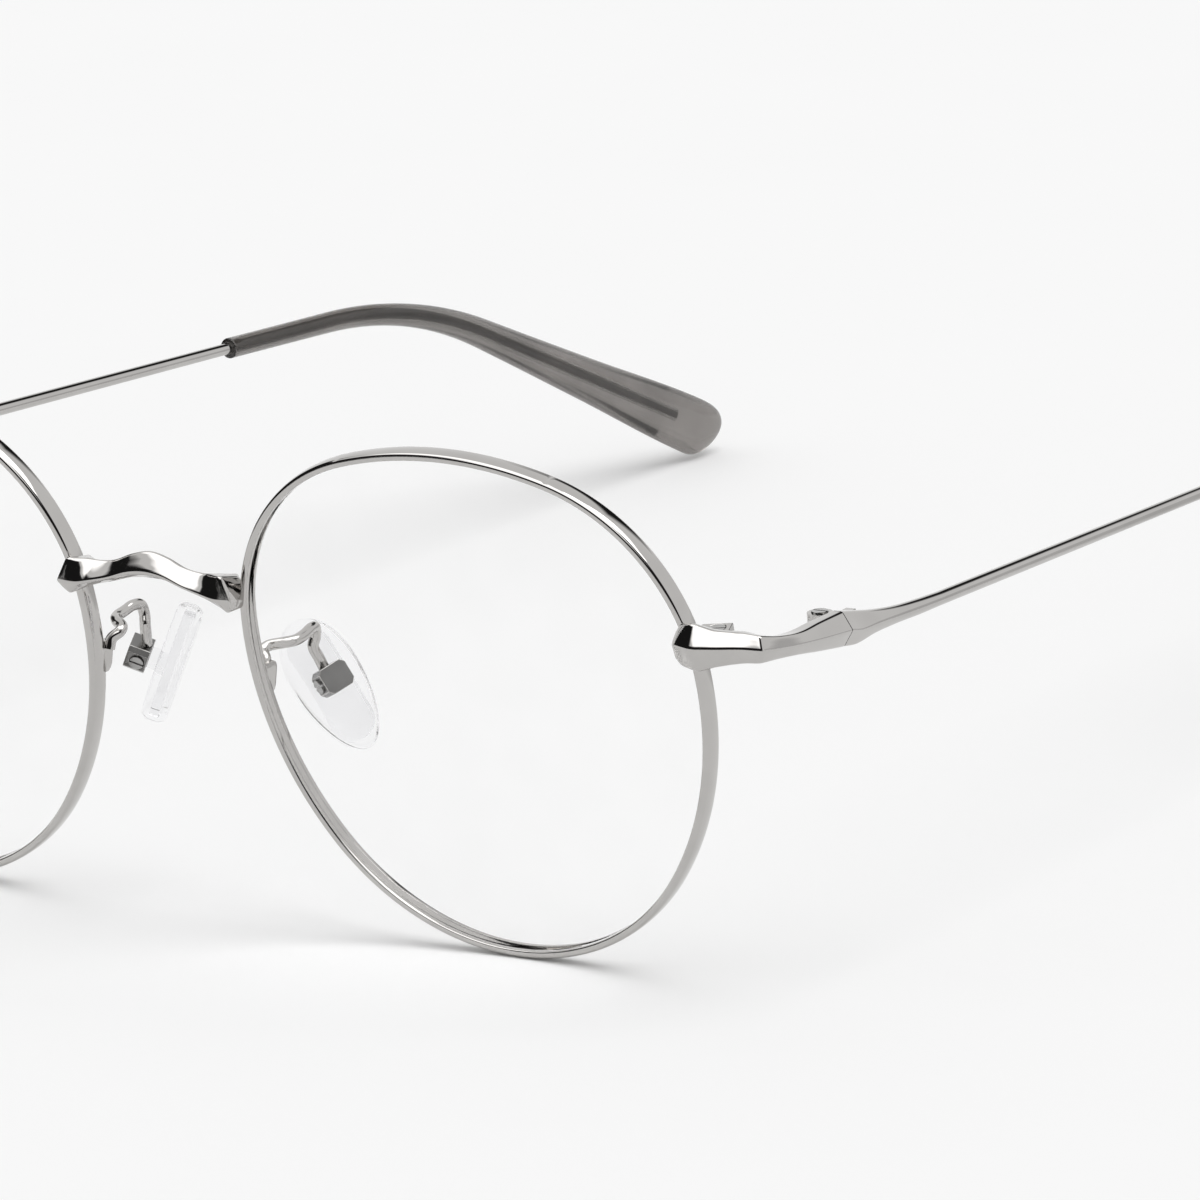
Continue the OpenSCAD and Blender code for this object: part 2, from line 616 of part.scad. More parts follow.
// Elliptic ring across the line: half width rx, half height rz, raised by lift
function tip_ring(s, rx, rz, lift) =
    let (q = line_at(s), b = q[1])
    [for (k = [0:19]) q[0] + [-rx * cos(18 * k), 0, 0]
        + (rz * sin(18 * k) + lift) * [0, sin(b), cos(b)]];

function tip_h(f) =
    curve(f, [[0, tip_mouth_r], [0.33, tip_mouth_r * 1.1], [0.57, 1.62], [0.75, 2.14],
        [1, tip_blade_h / 2]]);
function tip_w(f) =
    curve(f, [[0, tip_mouth_r], [0.3, tip_mouth_r * 1.05], [0.8, tip_blade_t / 2],
        [1, tip_blade_t / 2 - 0.1]]);
function tip_round(e) = sqrt(max(0, 1 - e * e));

module temple_tip_half() {
    nose = tip_blade_h * 0.72;
    body = total_len - nose - mouth_len;
    bore = (wire_end_r + tip_clearance) / cos(9);
    steps = [for (i = [0:23]) i / 23];
    outer = concat(
        [for (e = [0.985, 0.93, 0.84, 0.7, 0.52, 0.3])
            tip_ring(total_len - nose + nose * e, tip_w(1) * pow(tip_round(e), 0.7),
                tip_h(1) * tip_round(e), 1.1 * e * e - 0.25)],
        [for (i = [23:-1:0]) let (f = steps[i])
            tip_ring(mouth_len + 0.15 + body * f, tip_w(f), tip_h(f), -0.25 * f)],
        [tip_ring(mouth_len, tip_mouth_r - 0.15, tip_mouth_r - 0.15, 0)]);
    inner = [for (i = [0:20]) tip_ring(mouth_len + (wire_len + 0.2 - mouth_len) * i / 20, bore, bore, 0)];
    at_hinge() loft(concat(outer, inner));
}

// Nose pad, its hard core, its box and screw. In the pad's own frame the
// nose lies towards -X, the pad's length runs along Z and its screw along Y.
module at_pad() translate([pad_x, pad_y, rim_z - pad_drop])
    rotate([0, -pad_frontal, 0]) rotate([0, 0, -pad_splay]) rotate([pad_turn, 0, 0]) children();

function egg(k, f, x) = [for (i = [0:27])
    let (a = 360 * i / 28)
    [x, pad_w / 2 * k * sin(a) * (1 + 0.14 * cos(a)), (pad_l - pad_w * (1 - k)) / 2 * f * cos(a)]];

module nose_pad_half() {
    h = pad_t / 2;
    at_pad() difference() {
        loft([egg(0.7, 0.97, -h), egg(0.88, 0.99, -h * 0.88), egg(0.98, 1, -h * 0.5), egg(1, 1, 0),
            egg(0.98, 1, h * 0.5), egg(0.88, 0.99, h * 0.88), egg(0.7, 0.97, h)]);
        core_plate();
        at_box() lug();
    }
}

module core_plate() {
    r = pad_w * 0.3;
    l = pad_l * 0.27;
    for (z = [-l, l])
        translate([-core_t / 2, 0, z]) rotate([0, 90, 0]) cylinder(h = core_t, r = r, $fn = 48);
    translate([-core_t / 2, -r, -l]) cube([core_t, 2 * r, 2 * l]);
}

// The box's screw line, in the pad's own frame
module at_box() translate([0, -box_ahead, box_up]) children();

module lug() {
    translate([0, -lug_t / 2, -lug_h / 2]) cube([box_reach, lug_t, lug_h]);
    translate([box_reach, 0, 0]) rotate([90, 0, 0])
        cylinder(h = lug_t, r = lug_h / 2, center = true, $fn = 48);
}

module pad_core_half() {
    at_pad() difference() {
        union() {
            core_plate();
            at_box() lug();
        }
        at_box() translate([box_reach, 0, 0]) rotate([90, 0, 0])
            cylinder(h = 4, r = pad_screw_r + 0.02, center = true, $fn = 48);
    }
}

box_x = box_reach - 0.9;

module box_block() translate([box_x, -box_w / 2, -box_l / 2]) cube([box_d, box_w, box_l]);

module pad_box_half() {
    slot = lug_t / 2 + lug_clearance;
    bevel = 0.6;
    at_pad() at_box() difference() {
        box_block();
        translate([box_x - 1, -slot, -lug_h / 2 - 0.2])
            cube([1 + box_reach - box_x + lug_h / 2 + 0.06, 2 * slot, lug_h + 0.4]);
        translate([box_reach, 0, 0]) rotate([90, 0, 0])
            cylinder(h = 2 * box_w, r = pad_screw_r + 0.01, center = true, $fn = 48);
        translate([box_reach, 0.3 - box_w / 2, 0]) rotate([90, 0, 0])
            cylinder(h = 1, r = pad_head_r + 0.05, $fn = 48);
        for (y = [-1, 1], z = [-1, 1])
            translate([box_x + box_d / 2, y * box_w / 2, z * box_l / 2]) rotate([45, 0, 0])
                cube([2 * box_d, bevel, bevel], center = true);
    }
}

module pad_screw_half() {
    at_pad() at_box() translate([box_reach, 0, 0]) rotate([90, 0, 0]) difference() {
        union() {
            translate([0, 0, -box_w / 2 - 0.1]) cylinder(h = box_w, r = pad_screw_r, $fn = 48);
            translate([0, 0, box_w / 2 - 0.3]) cylinder(h = 0.5, r = pad_head_r, $fn = 48);
        }
        translate([0, 0, box_w / 2 + 0.2]) cube([3, 0.18, 0.4], center = true);
    }
}

// Pad arm: a foot on the back of the rim, then a wire that loops to the box
foot_y = rim_d / 2 + 1.5;
function from_rim(u, v, w) =
    let (y = w * cos(rim_tilt) - v * sin(rim_tilt), z = w * sin(rim_tilt) + v * cos(rim_tilt),
        p = rot2([u, y], rim_wrap))
    [rim_x + p[0], p[1], rim_z + z];
function from_pad(p) =
    let (t = rot2([p[1], p[2]], pad_turn),
        q = rot2([p[0], t[0]], -pad_splay),
        x = q[0] * cos(pad_frontal) - t[1] * sin(pad_frontal),
        z = q[0] * sin(pad_frontal) + t[1] * cos(pad_frontal))
    [pad_x + x, pad_y + q[1], rim_z - pad_drop + z];
foot_v = -4.2;
foot_u = -(side_cx + sqrt(side_r * side_r - foot_v * foot_v));
foot_top = from_rim(foot_u, foot_v + 1.2, rim_d / 2 + 0.9);
box_in = from_pad([box_x + 0.6, -box_ahead, box_up + box_l / 2]);
arm_drop = foot_top + [0.25, 6, -0.1];
arm_path = smooth_path([
    foot_top + [-0.4, -0.3, -0.7],
    foot_top + [-0.55, 0, 0.2],
    foot_top + [-1.15, 0.5, 0.8],
    foot_top + [-0.95, 1.1, 1.1],
    foot_top + [0.1, 1.75, 1.3],
    foot_top + [0.85, 2.7, 1.4],
    foot_top + [0.9, 4, 1.6],
    foot_top + [0.8, 5.1, 1.85],
    foot_top + [0.6, 6, 1.7],
    foot_top + [0.4, 6.2, 0.8],
    arm_drop,
    mix(arm_drop, box_in, 0.55),
    box_in,
    box_in + from_pad([0, 0, -0.6]) - from_pad([0, 0, 0])], 3);

module pad_arm_half() {
    difference() {
        union() {
            at_foot() translate([-rim_t / 2, -foot_l / 2, -foot_y])
                cube([rim_t, foot_l, foot_y - rim_d / 2]);
            bar(arm_path, arm_r, 12);
        }
        at_pad() at_box() box_block();
    }
}

// On the nasal side of the rim; +Z towards the front
module at_foot() at_rim() translate([foot_u, foot_v, 0]) children();

module rim_left() color(steel) left_side() rim_half();
module rim_right() color(steel) right_side() rim_half();
module lens_left() color(clear) left_side() lens_half();
module lens_right() color(clear) right_side() lens_half();
module endpiece_left() color(steel) left_side() endpiece_half();
module endpiece_right() color(steel) right_side() endpiece_half();
module rim_lock_upper_left() color(steel) left_side() at_rim() lock_block(1);
module rim_lock_upper_right() color(steel) right_side() at_rim() lock_block(1);
module rim_lock_lower_left() color(steel) left_side() at_rim() lock_block(-1);
module rim_lock_lower_right() color(steel) right_side() at_rim() lock_block(-1);
module rim_lock_screw_left() color(dark_steel) left_side() lock_screw_half();
module rim_lock_screw_right() color(dark_steel) right_side() lock_screw_half();
module hinge_front_left() color(steel) left_side() hinge_front_half();
module hinge_front_right() color(steel) right_side() hinge_front_half();
module hinge_screw_left() color(dark_steel) left_side() hinge_screw_half();
module hinge_screw_right() color(dark_steel) right_side() hinge_screw_half();
module pad_arm_left() color(steel) left_side() pad_arm_half();
module pad_arm_right() color(steel) right_side() pad_arm_half();
module pad_box_left() color(steel) left_side() pad_box_half();
module pad_box_right() color(steel) right_side() pad_box_half();
module pad_screw_left() color(dark_steel) left_side() pad_screw_half();
module pad_screw_right() color(dark_steel) right_side() pad_screw_half();
module pad_core_left() color(clear) left_side() pad_core_half();
module pad_core_right() color(clear) right_side() pad_core_half();
module nose_pad_left() color(silicone) left_side() nose_pad_half();
module nose_pad_right() color(silicone) right_side() nose_pad_half();
module temple_left() color(steel) left_side() temple_half();
module temple_right() color(steel) right_side() temple_half();
module temple_knuckle_left() color(steel) left_side() temple_knuckle_half();
module temple_knuckle_right() color(steel) right_side() temple_knuckle_half();
module temple_tip_left() color(smoke) left_side() temple_tip_half();
module temple_tip_right() color(smoke) right_side() temple_tip_half();

rim_left();
rim_right();
lens_left();
lens_right();
bridge();
endpiece_left();
endpiece_right();
rim_lock_upper_left();
rim_lock_upper_right();
rim_lock_lower_left();
rim_lock_lower_right();
rim_lock_screw_left();
rim_lock_screw_right();
hinge_front_left();
hinge_front_right();
hinge_screw_left();
hinge_screw_right();
pad_arm_left();
pad_arm_right();
pad_box_left();
pad_box_right();
pad_screw_left();
pad_screw_right();
pad_core_left();
pad_core_right();
nose_pad_left();
nose_pad_right();
temple_left();
temple_right();
temple_knuckle_left();
temple_knuckle_right();
temple_tip_left();
temple_tip_right();
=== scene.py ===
import math
import json
import bmesh
import bpy
from mathutils import Matrix, Vector

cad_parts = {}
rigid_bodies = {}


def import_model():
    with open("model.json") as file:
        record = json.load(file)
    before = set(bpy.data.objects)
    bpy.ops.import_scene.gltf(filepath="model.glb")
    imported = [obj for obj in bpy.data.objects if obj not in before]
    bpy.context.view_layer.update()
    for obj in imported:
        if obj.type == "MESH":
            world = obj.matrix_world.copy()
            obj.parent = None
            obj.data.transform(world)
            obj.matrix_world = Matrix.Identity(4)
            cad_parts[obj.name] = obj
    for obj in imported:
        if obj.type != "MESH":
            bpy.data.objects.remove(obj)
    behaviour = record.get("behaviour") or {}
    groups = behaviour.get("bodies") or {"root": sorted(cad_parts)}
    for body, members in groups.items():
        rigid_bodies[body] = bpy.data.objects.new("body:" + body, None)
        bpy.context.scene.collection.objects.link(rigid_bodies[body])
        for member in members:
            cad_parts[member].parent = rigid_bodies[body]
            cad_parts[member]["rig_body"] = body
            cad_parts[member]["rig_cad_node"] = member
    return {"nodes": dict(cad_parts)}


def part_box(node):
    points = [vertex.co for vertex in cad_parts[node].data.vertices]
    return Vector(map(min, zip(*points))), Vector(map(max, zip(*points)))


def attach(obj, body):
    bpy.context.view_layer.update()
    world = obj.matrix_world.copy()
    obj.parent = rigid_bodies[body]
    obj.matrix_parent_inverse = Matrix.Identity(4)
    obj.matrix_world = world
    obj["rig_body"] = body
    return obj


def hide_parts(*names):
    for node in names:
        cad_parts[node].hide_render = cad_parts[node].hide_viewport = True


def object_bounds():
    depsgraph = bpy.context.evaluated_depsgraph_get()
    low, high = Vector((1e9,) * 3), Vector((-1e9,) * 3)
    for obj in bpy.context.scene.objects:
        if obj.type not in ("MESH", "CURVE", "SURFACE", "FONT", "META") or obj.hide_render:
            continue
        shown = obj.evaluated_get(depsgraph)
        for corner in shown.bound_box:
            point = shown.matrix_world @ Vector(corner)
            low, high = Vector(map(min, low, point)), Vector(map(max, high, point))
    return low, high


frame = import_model()
cad_low, cad_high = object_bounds()

# Sizes are in millimetres, as in the part's source, and meshes are scaled to metres.
MM = 0.001

# Rims
RIM_W = 48.35
RIM_CORNER_STEP = 12.8125
RIM_TOP_STEP = 20.8
RIM_T = 0.8
RIM_D = 1.8
RIM_EDGE = 0.18
RIM_TILT = 9.3
RIM_WRAP = 1.4
RIM_GAP = 17.05
GROOVE_DEPTH = 0.35
GROOVE_W = 0.8

# Bridge
BRIDGE_W = 19.7
BRIDGE_Z = 4.4
BRIDGE_REACH = 4.4
BRIDGE_RISE = 2
BRIDGE_HUMP = 1.25
BRIDGE_SETBACK = 0.75
# How far the ridge stands forward of the bar's own bow in its middle
BRIDGE_CROWN = 0.6
BRIDGE_T = 1.3

# End pieces and hinge seams
ENDPIECE_X = 55.7
CORNER_X = 64.3
CORNER_Y = -0.5
ENDPIECE_Z = 4.9
ENDPIECE_REACH = 3.05
ENDPIECE_T = 2.05
ARM_ANGLE = 18.6
CORNER_ANGLE = 52
SEAM_H = 3.2
SEAM_RIDGE = 1
LOCK_SLIT = 0.12
LOCK_V = ENDPIECE_Z - 0.15
TEMPLE_X = 64.3
HINGE_Y = 12.6
HINGE_Z = 3.0
# Height of the seam's middle over the hinge's own middle, and the gap drawn between its two faces
MID_Z = 0.4
SEAM_GAP = 0.1

# Temples and tips
WIRE_R = 0.64
WIRE_END_R = 0.56
FLARE_L = 15.5
TEMPLE_STRAIGHT = 101.2
TEMPLE_TAIL = 51.7
TEMPLE_SPLAY = 4.1
TEMPLE_FALL = 2.8
EAR_BEND = 25
BEND_R = 55
TIP_START = 74.4
TIP_MOUTH_R = 1
TIP_BLADE_H = 5.8
TIP_BLADE_T = 2.7
TIP_COVER = 8
TIP_CLEARANCE = 0.03
TIP_END_TRIM = 0.02

# Nose pads and pad arms
PAD_X = 8.95
PAD_Y = 10.55
PAD_DROP = 7.1
PAD_L = 13.2
PAD_W = 6.6
PAD_T = 2.4
PAD_FRONTAL = 26
PAD_SPLAY = 27
PAD_TURN = 8
ARM_R = 0.52
BOX_L = 2.5
BOX_REACH = 2.95
BOX_UP = 0.5
BOX_AHEAD = 0.85
FOOT_V = -4.2
FOOT_L = 2.8

# The rim's outline is six tangent arcs that meet on these directions.
TOP_DIR = (0.28, 0.96)
SIDE_DIR = (0.99712, 0.07584)
LOW_DIR = (0.8, -0.6)
LOW_STEP = (RIM_CORNER_STEP * SIDE_DIR[0] - RIM_TOP_STEP * TOP_DIR[0]) / LOW_DIR[0]
SIDE_CX = -LOW_STEP * LOW_DIR[0]
SIDE_R = RIM_W / 2 - SIDE_CX
CORNER_R = SIDE_R - RIM_CORNER_STEP
CORNER_C = (RIM_TOP_STEP * TOP_DIR[0], RIM_CORNER_STEP * SIDE_DIR[1])
TOP_R = CORNER_R + RIM_TOP_STEP
TOP_CY = CORNER_C[1] - RIM_TOP_STEP * TOP_DIR[1]
BOTTOM_R = SIDE_R - LOW_STEP
BOTTOM_CY = LOW_STEP * LOW_DIR[1]
FOOT_U = -(SIDE_CX + math.sqrt(SIDE_R ** 2 - FOOT_V ** 2))

TILT = math.radians(RIM_TILT)
RIM_X = RIM_GAP / 2 + RIM_T / 2 + RIM_W / 2
RIM_LOW = BOTTOM_R - BOTTOM_CY + RIM_T / 2
RIM_Z = RIM_LOW * math.cos(TILT) + (RIM_D / 2 - RIM_EDGE) * math.sin(TILT)
SEAM_Z = RIM_Z + HINGE_Z
SHIFT_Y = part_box("bridge")[0].y / MM + BRIDGE_REACH

SIDES = {"left": 1, "right": -1}
FRONT = "frame_front"


def turn(axis, degrees):
    return Matrix.Rotation(math.radians(degrees), 4, axis)


AT_MODEL = Matrix.Translation((0, SHIFT_Y, 0))
AT_RIM = AT_MODEL @ Matrix.Translation((RIM_X, 0, RIM_Z)) @ turn("Z", RIM_WRAP) @ turn("X", RIM_TILT + 90)
AT_HINGE = AT_MODEL @ Matrix.Translation((TEMPLE_X, HINGE_Y, SEAM_Z)) @ turn("Z", TEMPLE_SPLAY)
AT_PAD = (AT_MODEL @ Matrix.Translation((PAD_X, PAD_Y, RIM_Z - PAD_DROP))
          @ turn("Y", -PAD_FRONTAL) @ turn("Z", -PAD_SPLAY) @ turn("X", PAD_TURN))


# Numbers and curves

def mix(a, b, t):
    return a * (1 - t) + b * t


def curve(x, knots):
    """Value at x on a smooth curve through (x, value) knots in rising order, flat at both ends."""
    i = 0
    while i < len(knots) - 2 and x > knots[i + 1][0]:
        i += 1

    def slope(k):
        if k <= 0 or k >= len(knots) - 1:
            return 0
        return (knots[k + 1][1] - knots[k - 1][1]) / (knots[k + 1][0] - knots[k - 1][0])

    width = knots[i + 1][0] - knots[i][0]
    t = min(1, max(0, (x - knots[i][0]) / width))
    ease = t * t * (3 - 2 * t)
    bend = width * t * (1 - t) * ((1 - t) * slope(i) - t * slope(i + 1))
    return mix(knots[i][1], knots[i + 1][1], ease) + bend


def spline_points(points, steps):
    """Dense points on a smooth curve through points; the spacing of the points sets the tangents."""
    gaps = [0]
    for a, b in zip(points, points[1:]):
        gaps.append(gaps[-1] + max((b - a).length, 1e-6))
    slopes = []
    for i in range(len(points)):
        lo, hi = max(0, i - 1), min(len(points) - 1, i + 1)
        slopes.append((points[hi] - points[lo]) / (gaps[hi] - gaps[lo]))
    dense = []
    for i in range(len(points) - 1):
        w = gaps[i + 1] - gaps[i]
        for k in range(steps):
            t = k / steps
            dense.append(hermite(points[i], points[i + 1], slopes[i] * w, slopes[i + 1] * w, t))
    dense.append(points[-1])
    return dense


def hermite(a, b, da, db, t):
    t2, t3 = t * t, t * t * t
    return a * (2 * t3 - 3 * t2 + 1) + da * (t3 - 2 * t2 + t) + b * (3 * t2 - 2 * t3) + db * (t3 - t2)


def smooth_rings(rings, steps):
    """Rings between the given rings, each point on a smooth curve along the loft."""
    middles = [sum(ring, Vector()) / len(ring) for ring in rings]
    gaps = [0]
    for a, b in zip(middles, middles[1:]):
        gaps.append(gaps[-1] + max((b - a).length, 1e-4))
    dense = []
    for i in range(len(rings) - 1):
        w = gaps[i + 1] - gaps[i]

        def slope(k, j):
            lo, hi = max(0, k - 1), min(len(rings) - 1, k + 1)
            return (rings[hi][j] - rings[lo][j]) * (w / (gaps[hi] - gaps[lo]))

        for k in range(steps):
            t = k / steps
            dense.append([hermite(rings[i][j], rings[i + 1][j], slope(i, j), slope(i + 1, j), t)
                          for j in range(len(rings[i]))])
    dense.append(rings[-1])
    return dense


def rounded(corners, steps=5, side=3):
    """Closed section with each (x, z, radius) corner rounded, and points along its sides."""
    n = len(corners)
    points = []
    for i in range(n):
        x, z, r = corners[i]
        here = Vector((x, z))
        before = Vector(corners[i - 1][:2]) - here
        after = Vector(corners[(i + 1) % n][:2]) - here
        start = here + before.normalized() * min(r, 0.45 * before.length)
        end = here + after.normalized() * min(r, 0.45 * after.length)
        for k in range(steps + 1):
            t = k / steps
            points.append(start * (1 - t) ** 2 + here * 2 * t * (1 - t) + end * t * t)
        following = corners[(i + 1) % n]
        there = Vector(following[:2])
        next_start = there - after.normalized() * min(following[2], 0.45 * after.length)
        for k in range(1, side):
            points.append(mix(end, next_start, k / side))
    return points


# Meshes

def make_mesh(name, points, faces, place, mirrored=False, sharp=None):
    """A smooth-shaded object from points in millimetres, set by the matrix place."""
    flip = Matrix.Scale(-1, 4, (1, 0, 0)) if mirrored else Matrix.Identity(4)
    whole = Matrix.Scale(MM, 4) @ flip @ place
    mesh = bpy.data.meshes.new(name)
    mesh.from_pydata([whole @ Vector(p) for p in points], [], faces)
    mesh.validate()
    shape = bmesh.new()
    shape.from_mesh(mesh)
    bmesh.ops.recalc_face_normals(shape, faces=shape.faces)
    shape.to_mesh(mesh)
    shape.free()
    mesh.polygons.foreach_set("use_smooth", [True] * len(mesh.polygons))
    if sharp is not None:
        mesh.set_sharp_from_angle(angle=math.radians(sharp))
    piece = bpy.data.objects.new(name, mesh)
    bpy.context.scene.collection.objects.link(piece)
    return piece


def skin(rings, closed=False):
    """Points and faces of a tube through rings, capped unless it closes on itself."""
    n, m = len(rings[0]), len(rings)
    points = [p for ring in rings for p in ring]
    last = m if closed else m - 1
    faces = [(i * n + j, i * n + (j + 1) % n, (i + 1) % m * n + (j + 1) % n, (i + 1) % m * n + j)
             for i in range(last) for j in range(n)]
    if not closed:
        faces.append(tuple(range(n)))
        faces.append(tuple((m - 1) * n + j for j in reversed(range(n))))
    return points, faces


def dress(piece, body, slot, look, *nodes):
    """Gives a new piece its material and its body, and hides the nodes it stands for. The slot argument is
    not used.
    """
    piece.data.materials.clear()
    piece.data.materials.append(look)
    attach(piece, body)
    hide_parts(*nodes)
    return piece


# Materials

def new_look(name):
    look = bpy.data.materials.new(name)
    look.use_nodes = True
    nodes = look.node_tree.nodes
    return look, nodes, look.node_tree.links, nodes["Principled BSDF"]


def noise(nodes, links, scale, detail=2.0, stretch=(1, 1, 1)):
    place = nodes.new("ShaderNodeTexCoord")
    mapping = nodes.new("ShaderNodeMapping")
    mapping.inputs["Scale"].default_value = stretch
    texture = nodes.new("ShaderNodeTexNoise")
    texture.inputs["Scale"].default_value = scale
    texture.inputs["Detail"].default_value = detail
    links.new(place.outputs["Object"], mapping.inputs["Vector"])
    links.new(mapping.outputs["Vector"], texture.inputs["Vector"])
    return texture.outputs["Fac"]


def ramp(nodes, links, value, low, high, start=0.3, stop=0.7):
    """Colours from low to high as value goes from start to stop."""
    stops = nodes.new("ShaderNodeValToRGB")
    stops.color_ramp.elements[0].position = start
    stops.color_ramp.elements[0].color = (*low, 1)
    stops.color_ramp.elements[1].position = stop
    stops.color_ramp.elements[1].color = (*high, 1)
    links.new(value, stops.inputs["Fac"])
    return stops.outputs["Color"]


def scaled(nodes, links, value, low, high):
    step = nodes.new("ShaderNodeMapRange")
    step.inputs["To Min"].default_value = low
    step.inputs["To Max"].default_value = high
    links.new(value, step.inputs["Value"])
    return step.outputs["Result"]


def bump(nodes, links, height, shader, strength, distance):
    lift = nodes.new("ShaderNodeBump")
    lift.inputs["Strength"].default_value = strength
    lift.inputs["Distance"].default_value = distance
    links.new(height, lift.inputs["Height"])
    links.new(lift.outputs["Normal"], shader.inputs["Normal"])


def metal_look(name, low, high, rough_low, rough_high, ripple):
    """Polished plating: faint cloudiness in its tint and gloss, and a faint ripple."""
    look, nodes, links, shader = new_look(name)
    shader.inputs["Metallic"].default_value = 1
    cloud = noise(nodes, links, 260)
    links.new(ramp(nodes, links, cloud, low, high), shader.inputs["Base Color"])
    haze = noise(nodes, links, 700, 3)
    links.new(scaled(nodes, links, haze, rough_low, rough_high), shader.inputs["Roughness"])
    bump(nodes, links, noise(nodes, links, 900, 2), shader, ripple, 0.00002)
    return look


def clear_look(name, low, high, roughness, ior, transmission=1.0):
    """Clear plastic or glass with a faint unevenness in its tint."""
    look, nodes, links, shader = new_look(name)
    shader.inputs["Transmission Weight"].default_value = transmission
    shader.inputs["Roughness"].default_value = roughness
    shader.inputs["IOR"].default_value = ior
    cloud = noise(nodes, links, 180)
    links.new(ramp(nodes, links, cloud, low, high), shader.inputs["Base Color"])
    bump(nodes, links, noise(nodes, links, 500, 2), shader, 0.03, 0.00003)
    return look


polished = metal_look("polished_metal", (0.475, 0.463, 0.45), (0.51, 0.498, 0.484), 0.04, 0.08, 0.03)
# The pad boxes' faces get a much darker, rougher copy of the polished metal: painted shade for the dark
# look of their flat ends. Their broken edges keep the polished metal.
box_metal_painted_shade = metal_look("box_metal_painted_shade", (0.17, 0.168, 0.165), (0.23, 0.227, 0.223), 0.14, 0.24, 0.05)
screw_steel = metal_look("screw_steel", (0.36, 0.357, 0.352), (0.44, 0.436, 0.43), 0.12, 0.22, 0.1)
lens_glass = clear_look("lens_glass", (0.985, 0.985, 0.985), (1, 1, 1), 0.0, 1.02)
pad_clear = clear_look("pad_silicone", (0.95, 0.95, 0.955), (0.985, 0.985, 0.99), 0.1, 1.12)
core_clear = clear_look("pad_core", (0.90, 0.90, 0.905), (0.96, 0.96, 0.965), 0.06, 1.16)
smoke = clear_look("smoke_tip", (0.2, 0.187, 0.177), (0.27, 0.253, 0.24), 0.12, 1.42, 0.92)


# Sculpted metal sections: a ridge on the outer side, and flat top and bottom

def roof(up, dn, it, ib, th, tb=0.0, ridge=0.16, edge=0.26):
    """Five-sided section with its ridge at the origin. It reaches up and dn from there and th back; it and
    ib set the top and bottom edges back from the ridge, and tb lowers the top's back edge."""
    return rounded([
        (0, 0, ridge), (-it, up, edge), (-th, up - tb, edge), (-th, -dn, edge), (-ib, -dn, edge)])


SECTION_POINTS = len(roof(1, 1, 0.1, 0.1, 1))


def oval(rx, rz):
    """Ellipse with as many points as a roof section; its outer side touches x = 0."""
    start = 360 * 2.5 / SECTION_POINTS
    angles = [math.radians(360 * k / SECTION_POINTS - start) for k in range(SECTION_POINTS)]
    return [Vector((rx * (math.cos(a) - 1), rz * math.sin(a))) for a in angles]


def blend_sections(a, b, t):
    return [mix(p, q, t) for p, q in zip(a, b)]


def set_ring(section, origin, degrees):
    """A section set at origin, with its outward side towards a plan angle."""
    c, s = math.cos(math.radians(degrees)), math.sin(math.radians(degrees))
    return [Vector((origin[0] + p[0] * c, origin[1] + p[0] * s, origin[2] + p[1])) for p in section]


def mix_rings(a, b, t):
    return [mix(p, q, t) for p, q in zip(a, b)]


def kink(rings, index, length):
    """Two rings close to rings[index] in its place, so that the loft turns tightly there."""
    def part(a, b):
        gap = (sum(a, Vector()) - sum(b, Vector())).length / len(a)
        return min(0.45, length / gap)

    before, here, after = rings[index - 1:index + 2]
    pair = [mix_rings(here, before, part(here, before)), mix_rings(here, after, part(here, after))]
    return rings[:index] + pair + rings[index + 1:]


# Rims; the lenses keep their CAD shape

def rim_arcs():
    """The outline's arcs from just above the slit round to just below it."""
    def flip(v):
        return (-v[0], v[1])

    def bearing(v):
        return math.atan2(v[1], v[0])

    full = 2 * math.pi
    half_slit = LOCK_SLIT / 2
    up = math.asin((LOCK_V + half_slit - CORNER_C[1]) / CORNER_R)
    down = math.asin((LOCK_V - half_slit - CORNER_C[1]) / CORNER_R)
    return [
        (CORNER_C, CORNER_R, up, bearing(TOP_DIR)),
        ((0, TOP_CY), TOP_R, bearing(TOP_DIR), bearing(flip(TOP_DIR))),
        ((-CORNER_C[0], CORNER_C[1]), CORNER_R, bearing(flip(TOP_DIR)), bearing(flip(SIDE_DIR))),
        ((-SIDE_CX, 0), SIDE_R, bearing(flip(SIDE_DIR)), bearing(flip(LOW_DIR)) + full),
        ((0, BOTTOM_CY), BOTTOM_R, bearing(flip(LOW_DIR)) + full, bearing(LOW_DIR) + full),
        ((SIDE_CX, 0), SIDE_R, bearing(LOW_DIR) + full, bearing(SIDE_DIR) + full),
        (CORNER_C, CORNER_R, bearing(SIDE_DIR) + full, down + full)]


def make_rim(side):
    x, y = RIM_T / 2, RIM_D / 2
    edge = RIM_EDGE + 0.06
    section = rounded([
        (x - 0.1, -y, 0.2), (x, -0.3, 0.28), (x, 0.3, 0.28), (x - 0.12, y, 0.42), (-x, y, edge),
        (-x, GROOVE_W / 2, 0.04),
        (-x + GROOVE_DEPTH, 0, 0.03), (-x, -GROOVE_W / 2, 0.04), (-x, -y, edge)], 4, 2)
    rings = []
    for centre, radius, start, stop in rim_arcs():
        steps = max(2, round((stop - start) * radius / 0.4))
        for k in range(steps + 1):
            a = mix(start, stop, k / steps)
            c, s = math.cos(a), math.sin(a)
            rings.append([Vector((centre[0] + (radius + p[0]) * c, centre[1] + (radius + p[0]) * s, p[1]))
                          for p in section])
    points, faces = skin(rings)
    piece = make_mesh("rim_wire_" + side, points, faces, AT_RIM, SIDES[side] < 0, 50)
    return dress(piece, FRONT, "polished_metal", polished, "rim_" + side)


# Bridge

